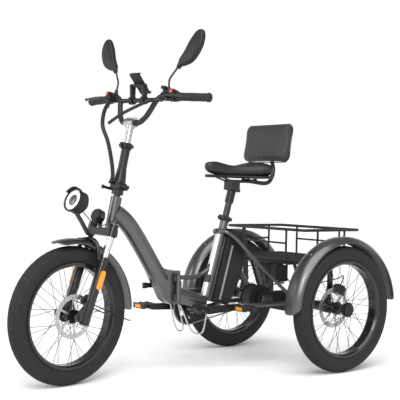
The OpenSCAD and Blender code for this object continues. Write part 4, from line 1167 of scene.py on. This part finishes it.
class TRICYCLE_OT_bars(Operator):
    """Smooth bent handlebar with its cross bar, and ribbed grips"""
    bl_idname = "tricycle.bars"
    bl_label = "Handlebar and grips"

    def execute(self, context):
        bars = [tube(BAR(bar_path(side)), BAR_RADIUS * MM, 28, BAR.axes[:, 1]) for side in (1, -1)]
        clamped = BAR([[-37, 0, 0], [0, 0, 0], [37, 0, 0]])
        cross_bar = BAR([[-112, 14, 100], [0, 14, 100], [112, 14, 100]])
        bars.append(tube(clamped, 13 * MM, 40, BAR.axes[:, 1]))
        bars.append(tube(cross_bar, 9.5 * MM, 28, BAR.axes[:, 1]))
        skin("handlebar_tube", bars, finish("powder_coat"), "handlebar", ["handlebar"],
             slot="black_paint")
        grips = []
        for side in (1, -1):
            place = grip_place(side, GRIP_START + 2)
            h = np.linspace(6.5, 145.5, 279)
            wave = np.abs(((h - 12) / 5.0) % 1 - 0.5) * 2
            ribbed = smooth_step(14, 18, h) * (1 - smooth_step(134, 138, h))
            ribs = 0.9 * smooth_step(0.25, 0.7, wave) * ribbed
            palm = 15.4 + 0.7 * np.cos((h - 76) / 70 * np.pi) ** 2 + ribs
            profile = [(0, 0), (18.6, 0), (19.5, 0.9), (19.5, 5.1), (18.6, 6)]
            profile += list(zip(palm, h))
            profile += [(17.4, 146), (18.5, 147.2), (18.5, 155), (17.6, 157.4), (15.5, 158), (7, 158),
                        (6, 157), (0, 157)]
            grips.append(lathe(place, profile, 64))
        skin("ribbed_grips", grips, finish("grip_rubber"), "handlebar", ["grips"], slot="rubber")
        screen = grip_place(1, GRIP_START - 74).child([-40.1, 0, 7]).along([-1, 0, 0])
        outline = rounded(16, 26, 2, 5)
        face = pressed(screen, outline, soft_rows(outline, -0.5, 0.5, 0.2, 0.4, 0.2))
        skin("display_screen", [face], finish("screen"), "handlebar", slot="black_plastic")
        return {"FINISHED"}


MIRROR_OUTLINE = ((-12, 18), (12, 18), (48, 66), (46, 128), (24, 168), (-4, 184), (-24, 170),
                  (-26, 122), (-16, 66))


class TRICYCLE_OT_mirrors(Operator):
    """Rear-view mirrors with rounded shells, glass and bent stalks"""
    bl_idname = "tricycle.mirrors"
    bl_label = "Mirrors"

    def execute(self, context):
        for side, name in ((1, "left"), (-1, "right")):
            body = f"mirror_{name}"
            foot = BAR.child([side * 165, bar_back(165), BAR_RISE + 17])
            head = foot.child([side * 30, 0, 118], turn_y(side * 36))
            stalk = curve(np.array([[0, 0, 36], [-4, -2, 58], [-2, -3, 74], [12, -2, 96], [30, 0, 122]])
                          * [side, 1, 1], 8)
            boss = [(0, 24.3), (8, 24.3), (8, 33), (6.5, 36), (6.5, 38.3), (0, 38.3)]
            neck = [(0, 0), (8, 0), (9, 1.5), (10.5, 10), (12.5, 22), (12.5, 26), (0, 27)]
            outline = closed_curve(np.array(MIRROR_OUTLINE, float) * [side, 1], 8)
            face = head.child([0, 0, 0], turn_x(90))
            a = np.linspace(0, np.pi / 2, 8)
            rim = [(0, -7.6), (0.93, -7.6), (0.935, -9), (0.965, -9), (1.0, -7), (1.0, -2)]
            back = [(1 - 0.20 * (1 - math.cos(t)), -2 + 15 * math.sin(t)) for t in a]
            dome = [(0.8 * k, 13 + 3.6 * (1 - k * k)) for k in (0.8, 0.55, 0.3, 0)]
            shell = pressed(face, outline, rim + back + dome)
            skin(f"{name}_mirror_shell", [shell, lathe(head, neck, 32)], finish("black_plastic"), body,
                 [body], slot="black_plastic")
            skin(f"{name}_mirror_stalk", [tube(foot(stalk), 4 * MM, 16, foot.axes[:, 1]),
                                          lathe(foot, boss, 32)],
                 finish("powder_coat"), body, [body], slot="black_paint")
            glass = pressed(face, outline, [(0, -7.3), (0.5, -7.4), (0.92, -7.9), (0.925, -8.2),
                                            (0.5, -8.5), (0, -8.6)])
            skin(f"{name}_mirror_glass", [glass], finish("mirror_glass"), body, [body], slot="mirror")
        return {"FINISHED"}


# ---------- lamp ----------

class TRICYCLE_OT_lamp(Operator):
    """Round headlight: finned body, bezel, light ring, core and visor on its arm"""
    bl_idname = "tricycle.lamp"
    bl_label = "Headlight"

    def execute(self, context):
        fins = [(46.4 - 1.6 * (k % 2), 5 + 3 * k) for k in range(9)]
        profile = [(0, -16), (28, -16), (30, -15), (44, -2), (46.4, 1)] + fins
        profile += [(46.4, 33), (48.2, 34), (49, 35.5), (49, 44.5), (48.2, 46), (43.4, 46), (42, 44.6),
                    (41.8, 38.4), (0, 38.2)]
        arc = np.radians(np.linspace(30, 150, 40))[:, None]
        rim = np.array([(48.7, 38), (51.6, 38), (51.8, 50), (51.5, 56), (50.6, 56.4), (49.4, 55.5)])
        radius, height = rim[:, 0], rim[:, 1]
        visor = LAMP(np.stack([radius * np.cos(arc), radius * np.sin(arc), height + 0 * arc], -1))
        caps = visor.mean(axis=1, keepdims=True)[[0, -1]] + 0 * visor[[0, -1]]
        visor = np.concatenate([caps[:1], visor, caps[1:]])
        way = HEAD(curve([[0, -180, 30], [0, -152, 6], [0, -126, -19], [0, -107, -36],
                          [0, -88, -40.5]], 6))
        arm = tube(way, flat_bar(13, 4), 32, HEAD.axes[:, 0])
        bolt = bolt_head(HEAD.child([0, -96, -36.5]), 7, 5)
        skin("lamp_body", [lathe(LAMP, profile, 96), visor, arm, bolt], finish("black_plastic"),
             "fork_lowers", ["headlight"], slot="black_plastic")
        ring = [(22.6, 38.3), (41.6, 38.3), (41.6, 41), (39, 43), (32, 44.4), (25, 43), (22.6, 41)]
        grid = lathe(LAMP, ring + ring[:1], 96)
        skin("lamp_light_ring", [grid], finish("lamp_ring"), "fork_lowers", ["headlight"],
             slot="bright")
        core = [(0, 38.3), (22, 38.3), (22, 43.5), (20.6, 44.5), (19, 44), (17, 45.2), (11, 46),
                (0, 46.2)]
        skin("lamp_projector", [lathe(LAMP, core, 64)], finish("lamp_core"), "fork_lowers",
             ["headlight"], slot="black_plastic")
        return {"FINISHED"}


# ---------- hoses ----------

WRAP_PITCH = 0.013


def wrap_ridge(s, v):
    """Height in metres of a flat ridge that winds once every pitch round the bundle."""
    turn = (s / WRAP_PITCH + v / (2 * np.pi)) % 1
    return 0.0009 * smooth_step(0.0, 0.12, turn) * (1 - smooth_step(0.80, 0.92, turn)) - 0.0006


def wrapped(place, path, radius):
    """A bundle with a spiral wrap round it."""
    return tube(place(refine(path, 1.6)), radius * MM, 20, place.axes[:, 0], wrap_ridge)


def refine(path, step):
    """The same path resampled evenly, step millimetres apart."""
    length = np.concatenate([[0], np.cumsum(np.linalg.norm(np.diff(path, axis=0), axis=1))])
    s = np.linspace(0, length[-1], max(3, int(length[-1] / step)))
    return np.column_stack([np.interp(s, length, path[:, k]) for k in range(3)])


def split(path, heights):
    """Cuts a path that falls in Z where it crosses the given heights."""
    parts, start = [], 0
    for height in heights:
        end = int(np.argmax(path[:, 2] < height))
        parts.append(path[start:end + 1])
        start = end
    return parts + [path[start:]]


LEFT_BUNDLE = ((160, 7.4, 543.9), (120, -20, 536), (60, -34, 510), (10, -66, 468), (-30, -92, 422))
RIGHT_BUNDLE = ((-160, 6.7, 543), (-136, -30, 524), (-98, -72, 474), (-52, -100, 408), (-20, -84, 348),
                (-6, -56, 272), (-4, -38, 216), (-14, -36, 186))
LAMP_WIRE = ((0, -155, 46), (4, -140, 34), (20, -112, 12), (37, -80, 6), (37, -50, 18), (30, -22, 34),
             (24.6, -6, 44))
REAR_HOSE = ((334, 40, 374.2), (329, 62, 402), (290, 96, 408), (250, 110, 392), (200, 60, 372),
             (158, 10, 352))
REAR_ENDS = {1: ((120, -30, 350), (88, -61.5, 388)),
             -1: ((-110, -20, 346), (-40, -40, 344), (20, -50, 354), (70, -61.1, 388))}


class TRICYCLE_OT_hoses(Operator):
    """Wrapped bundles, hoses and wires"""
    bl_idname = "tricycle.hoses"
    bl_label = "Hoses and wires"

    def execute(self, context):
        chain = ["handlebar", "stem_upper", "stem_lower", "steering"]
        parts = split(refine(curve(RIGHT_BUNDLE, 10), 3.0), [404, 300])
        for number, part in enumerate(parts):
            self.bend(f"right_bundle_{number + 1}", [wrapped(HEAD, part, 8)], part,
                      chain[number], chain[number + 1], HEAD)
        left = refine(curve(LEFT_BUNDLE, 10), 3.0)
        self.bend("left_bundle", [wrapped(HEAD, left, 6.5)], left, "handlebar", "stem_upper", HEAD)
        wire = refine(curve(LAMP_WIRE, 10), 2.0)
        half = len(wire) // 2
        for number, part, a, b in ((1, wire[:half + 1], "fork_lowers", "steering"),
                                   (2, wire[half:], "steering", "front_frame")):
            wire_grid = tube(HEAD(part), 2 * MM, 12, HEAD.axes[:, 0])
            self.bend(f"lamp_wire_{number}", [wire_grid], part, a, b, HEAD)
        rear = []
        for side, ends in REAR_ENDS.items():
            points = np.vstack([np.array(REAR_HOSE) * [side, 1, 1], ends])
            rear.append(tube(REAR(curve(points, 10)), 2.6 * MM, 14, (0.1, 0.05, 1)))
        skin("rear_hoses", rear, finish("hose_black"), "rear_frame", ["rear_cables"], slot="cable")
        return {"FINISHED"}

    def bend(self, name, grids, part, a, b, place):
        """One piece of hose that bends between two bodies."""
        piece = skin(name, grids, finish("hose_black"), None, ["control_cables"], slot="cable")
        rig.blend(piece, a, b, place(part[0]), place(part[-1]))


# ---------- frame and small parts ----------

MAIN_TUBE = ((0, -937.064, 683), (0, -888.064, 649), (0, -844.064, 601), (0, -790, 526), (0, -742, 454),
             (0, -698, 392))
UPPER_BRACE = ((0, -624, 402), (0, -570, 401), (0, -530, 400), (0, -494, 406), (0, -462, 420),
               (0, -430, 440))
SEAT_STAY = ((11, -392, 603), (38, -385, 598), (52, -365, 586), (60, -322, 552), (74, -262, 490),
             (96, -196, 424), (120, -120, 352), (130, -60, 300), (131, -20, 283))
CHAIN_STAY = ((20, -498, 262), (30, -470, 262), (31, -432, 262), (40, -390, 265), (54, -345, 269),
              (74, -296, 272), (85, -240, 272), (88, -120, 272), (92, -14, 274))
LEFT_STAND = ((40, -484, 280), (58, -489, 266), (63, -500, 232), (62, -512, 176), (60, -530, 163),
              (56, -560, 170), (50, -582, 200), (40, -606, 258), (34, -620, 288))
RIGHT_STAND = ((-37.9, -580, 312), (-39, -572, 270), (-39, -556, 215), (-39, -546, 178),
               (-39, -558, 163), (-39, -580, 174), (-38, -598, 212), (-36, -612, 258), (-34, -620, 288))
BACKREST_BAR = ((0, -262, 826), (0, -200, 822), (0, -140, 816), (0, -104, 822), (0, -84, 846),
                (0, -76, 880), (0, -84, 914), (0, -94, 942))
BRACE = ((-66, -82, -131), (-65, -87, -108), (-56, -92, -80), (-38, -94.5, -61), (0, -95, -53),
         (38, -94.5, -61), (56, -92, -80), (65, -87, -108), (66, -82, -131))


class TRICYCLE_OT_frame_tubes(Operator):
    """Smooth painted surfaces over the frame's bent tubes"""
    bl_idname = "tricycle.frame_tubes"
    bl_label = "Frame tubes"

    def execute(self, context):
        main = curve(MAIN_TUBE, 10)[4:]
        skin("main_tube_skin", [tube(REAR(main), 36.35 * MM, 64)], finish("frame_paint"), "front_frame",
             slot="frame_paint")
        grids = [tube(REAR(curve(UPPER_BRACE, 10)), 9.9 * MM, 24)]
        for side in (1, -1):
            for points, radius in ((SEAT_STAY, 8.3), (CHAIN_STAY, 10.4)):
                path = curve(np.array(points) * [side, 1, 1], 8)
                grids.append(tube(REAR(path), radius * MM, 24, (0.3 * side, 0.1, 1)))
        skin("rear_tube_skins", grids, finish("frame_paint"), "rear_frame", slot="frame_paint")
        skin("backrest_bar_skin", [tube(REAR(curve(BACKREST_BAR, 8)), 9.3 * MM, 28)],
             finish("powder_coat"), "saddle", slot="black_paint")
        skin("fork_brace_skin", [tube(HEAD(curve(BRACE, 8)), 8.8 * MM, 28, HEAD.axes[:, 1])],
             finish("gloss_black"), "fork_lowers", slot="black_paint")
        stands = [tube(REAR(curve(points, 8)), 3.5 * MM, 16, (1, 0.1, 0.1))
                  for points in (LEFT_STAND, RIGHT_STAND)]
        skin("folding_stand", stands, finish("steel"), "rear_frame", ["fold_stand"], slot="bright")
        return {"FINISHED"}


class TRICYCLE_OT_small_parts(Operator):
    """Caps of the fork's legs"""
    bl_idname = "tricycle.small_parts"
    bl_label = "Small parts"

    def execute(self, context):
        tops = [HEAD.child([side * LEG_X, -LEG_FORWARD, CROWN_TOP], turn_x(-LEG_TILT))
                for side in (1, -1)]
        skin("fork_leg_caps", [bolt_head(top, 13, 4) for top in tops], finish("bolt_steel"),
             "steering", slot="bright")
        return {"FINISHED"}


class TRICYCLE_OT_finishes(Operator):
    """Procedural finishes on every part kept from the frame"""
    bl_idname = "tricycle.finishes"
    bl_label = "Finishes"

    def execute(self, context):
        for name, nodes in NODE_FINISH.items():
            for node in nodes.split():
                mesh = NODES[node].data
                mesh.materials.clear()
                mesh.materials.append(finish(name))
        return {"FINISHED"}


# ---------- stage ----------

CAMERA_RIGHT = (0.60561, 0.79542, 0.02337)
CAMERA_UP = (-0.02449, -0.01072, 0.99964)
CAMERA_AHEAD = (-0.79538, 0.60597, -0.01299)


def soft_light(name, where, target, size, power):
    """A square area light turned towards a point."""
    data = bpy.data.lights.new(name, "AREA")
    data.shape = "RECTANGLE"
    data.size, data.size_y = size
    data.energy = power
    lamp = bpy.data.objects.new(name, data)
    lamp.location = where
    way = Vector(target) - Vector(where)
    lamp.rotation_euler = way.to_track_quat("-Z", "Y").to_euler()
    bpy.context.scene.collection.objects.link(lamp)
    return lamp


def studio_world():
    """White all round at eye height, dimmer overhead so that black pieces stay black."""
    world = bpy.data.worlds.new("studio")
    world.use_nodes = True
    nodes = world.node_tree.nodes
    background = nodes["Background"]
    where = nodes.new("ShaderNodeTexCoord")
    parts = nodes.new("ShaderNodeSeparateXYZ")
    fade = nodes.new("ShaderNodeMapRange")
    for slot, value in (("From Min", 0.26), ("From Max", 0.60), ("To Min", 1.0), ("To Max", 0.32)):
        fade.inputs[slot].default_value = value
    links = world.node_tree.links
    links.new(where.outputs["Generated"], parts.inputs[0])
    links.new(parts.outputs["Z"], fade.inputs["Value"])
    links.new(fade.outputs[0], background.inputs["Strength"])
    background.inputs["Color"].default_value = (1, 1, 1, 1)
    return world


class TRICYCLE_OT_stage(Operator):
    """Pale floor, soft lights and the camera"""
    bl_idname = "tricycle.stage"
    bl_label = "Stage"

    def execute(self, context):
        scene = context.scene
        scene.view_settings.view_transform = "Standard"
        scene.world = studio_world()
        mesh = bpy.data.meshes.new("studio_floor")
        size = 40.0
        mesh.from_pydata([(-size, -size, 0), (size, -size, 0), (size, size, 0), (-size, size, 0)], [],
                         [(0, 1, 2, 3)])
        floor = bpy.data.objects.new("studio_floor", mesh)
        scene.collection.objects.link(floor)
        paper = Finish("studio_paper", (0.93, 0.93, 0.93), 0.9)
        paper.mottle(0.5, 0.005, 0.02)
        mesh.materials.append(paper.material)
        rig.stage(floor)
        sun = bpy.data.lights.new("sky", "SUN")
        sun.energy = 2.6
        sun.angle = np.radians(60)
        lamp = bpy.data.objects.new("sky", sun)
        lamp.rotation_euler = (np.radians(14), np.radians(24), 0)
        scene.collection.objects.link(lamp)
        soft_light("key", (2.6, -2.4, 2.4), (0, -0.2, 0.6), (1.2, 1.8), 55)
        soft_light("side", (-1.6, -3.4, 1.8), (0, -0.2, 0.6), (1.0, 1.8), 35)
        data = bpy.data.cameras.new("camera")
        data.lens = 83.5
        data.sensor_width = 36
        data.clip_end = 200
        camera = bpy.data.objects.new("camera", data)
        axes = np.column_stack([CAMERA_RIGHT, CAMERA_UP, -np.array(CAMERA_AHEAD)])
        where = Matrix.Translation(settings().camera_place)
        camera.matrix_world = where @ Matrix(axes.tolist()).to_4x4()
        scene.collection.objects.link(camera)
        scene.camera = camera
        return {"FINISHED"}


# ---------- add-on ----------

class TricycleSettings(PropertyGroup):
    """Sizes and colours of the visible surfaces"""
    frame_colour: FloatVectorProperty(
        name="Frame colour", description="Metallic paint of the frame tubes",
        subtype="COLOR", size=3, min=0, max=1, default=(0.105, 0.105, 0.110))
    guard_colour: FloatVectorProperty(
        name="Guard colour", description="Metallic paint of the mudguards",
        subtype="COLOR", size=3, min=0, max=1, default=(0.095, 0.095, 0.100))
    tread_depth: FloatProperty(name="Tread depth", description="Depth of the tyre's grooves",
                               unit="LENGTH", subtype="DISTANCE", min=0, max=0.004, default=0.0022)
    tread_blocks: IntProperty(name="Tread blocks", description="Blocks round each tyre", min=20, max=90,
                              default=60)
    camera_place: FloatVectorProperty(name="Camera place", description="Where the camera stands",
                                      unit="LENGTH", subtype="TRANSLATION", size=3,
                                      default=(3.21539, -2.40352, 0.78784))


OPERATORS = (TRICYCLE_OT_finishes, TRICYCLE_OT_tyres, TRICYCLE_OT_guards, TRICYCLE_OT_saddle,
             TRICYCLE_OT_backrest, TRICYCLE_OT_bars, TRICYCLE_OT_mirrors, TRICYCLE_OT_lamp,
             TRICYCLE_OT_hoses, TRICYCLE_OT_frame_tubes, TRICYCLE_OT_small_parts, TRICYCLE_OT_stage)


class TRICYCLE_PT_panel(Panel):
    """Tricycle tools"""
    bl_idname = "TRICYCLE_PT_panel"
    bl_label = "Adult Tricycle"
    bl_space_type = "VIEW_3D"
    bl_region_type = "UI"
    bl_category = "Tricycle"

    def draw(self, context):
        for name in TricycleSettings.__annotations__:
            self.layout.prop(context.scene.tricycle, name)
        for operator in OPERATORS:
            self.layout.operator(operator.bl_idname)


CLASSES = (TricycleSettings, *OPERATORS, TRICYCLE_PT_panel)


def register():
    """Adds the settings, operators and panel."""
    for item in CLASSES:
        bpy.utils.register_class(item)
    bpy.types.Scene.tricycle = PointerProperty(type=TricycleSettings)


def unregister():
    """Takes them away again."""
    del bpy.types.Scene.tricycle
    for item in reversed(CLASSES):
        bpy.utils.unregister_class(item)


def main():
    """Builds every surface in order and writes the sizes before and after."""
    register()
    for operator in OPERATORS:
        group, name = operator.bl_idname.split(".")
        result = getattr(getattr(bpy.ops, group), name)()
        if result != {"FINISHED"}:
            raise RuntimeError(f"{operator.bl_idname} gave {result}")
    sizes = {"frame": [list(corner) for corner in CAD_BOX], "shown": [list(c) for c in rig.bounds()]}
    with open("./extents.json", "w") as file:
        json.dump(sizes, file, indent=1)


if __name__ == "__main__":
    main()
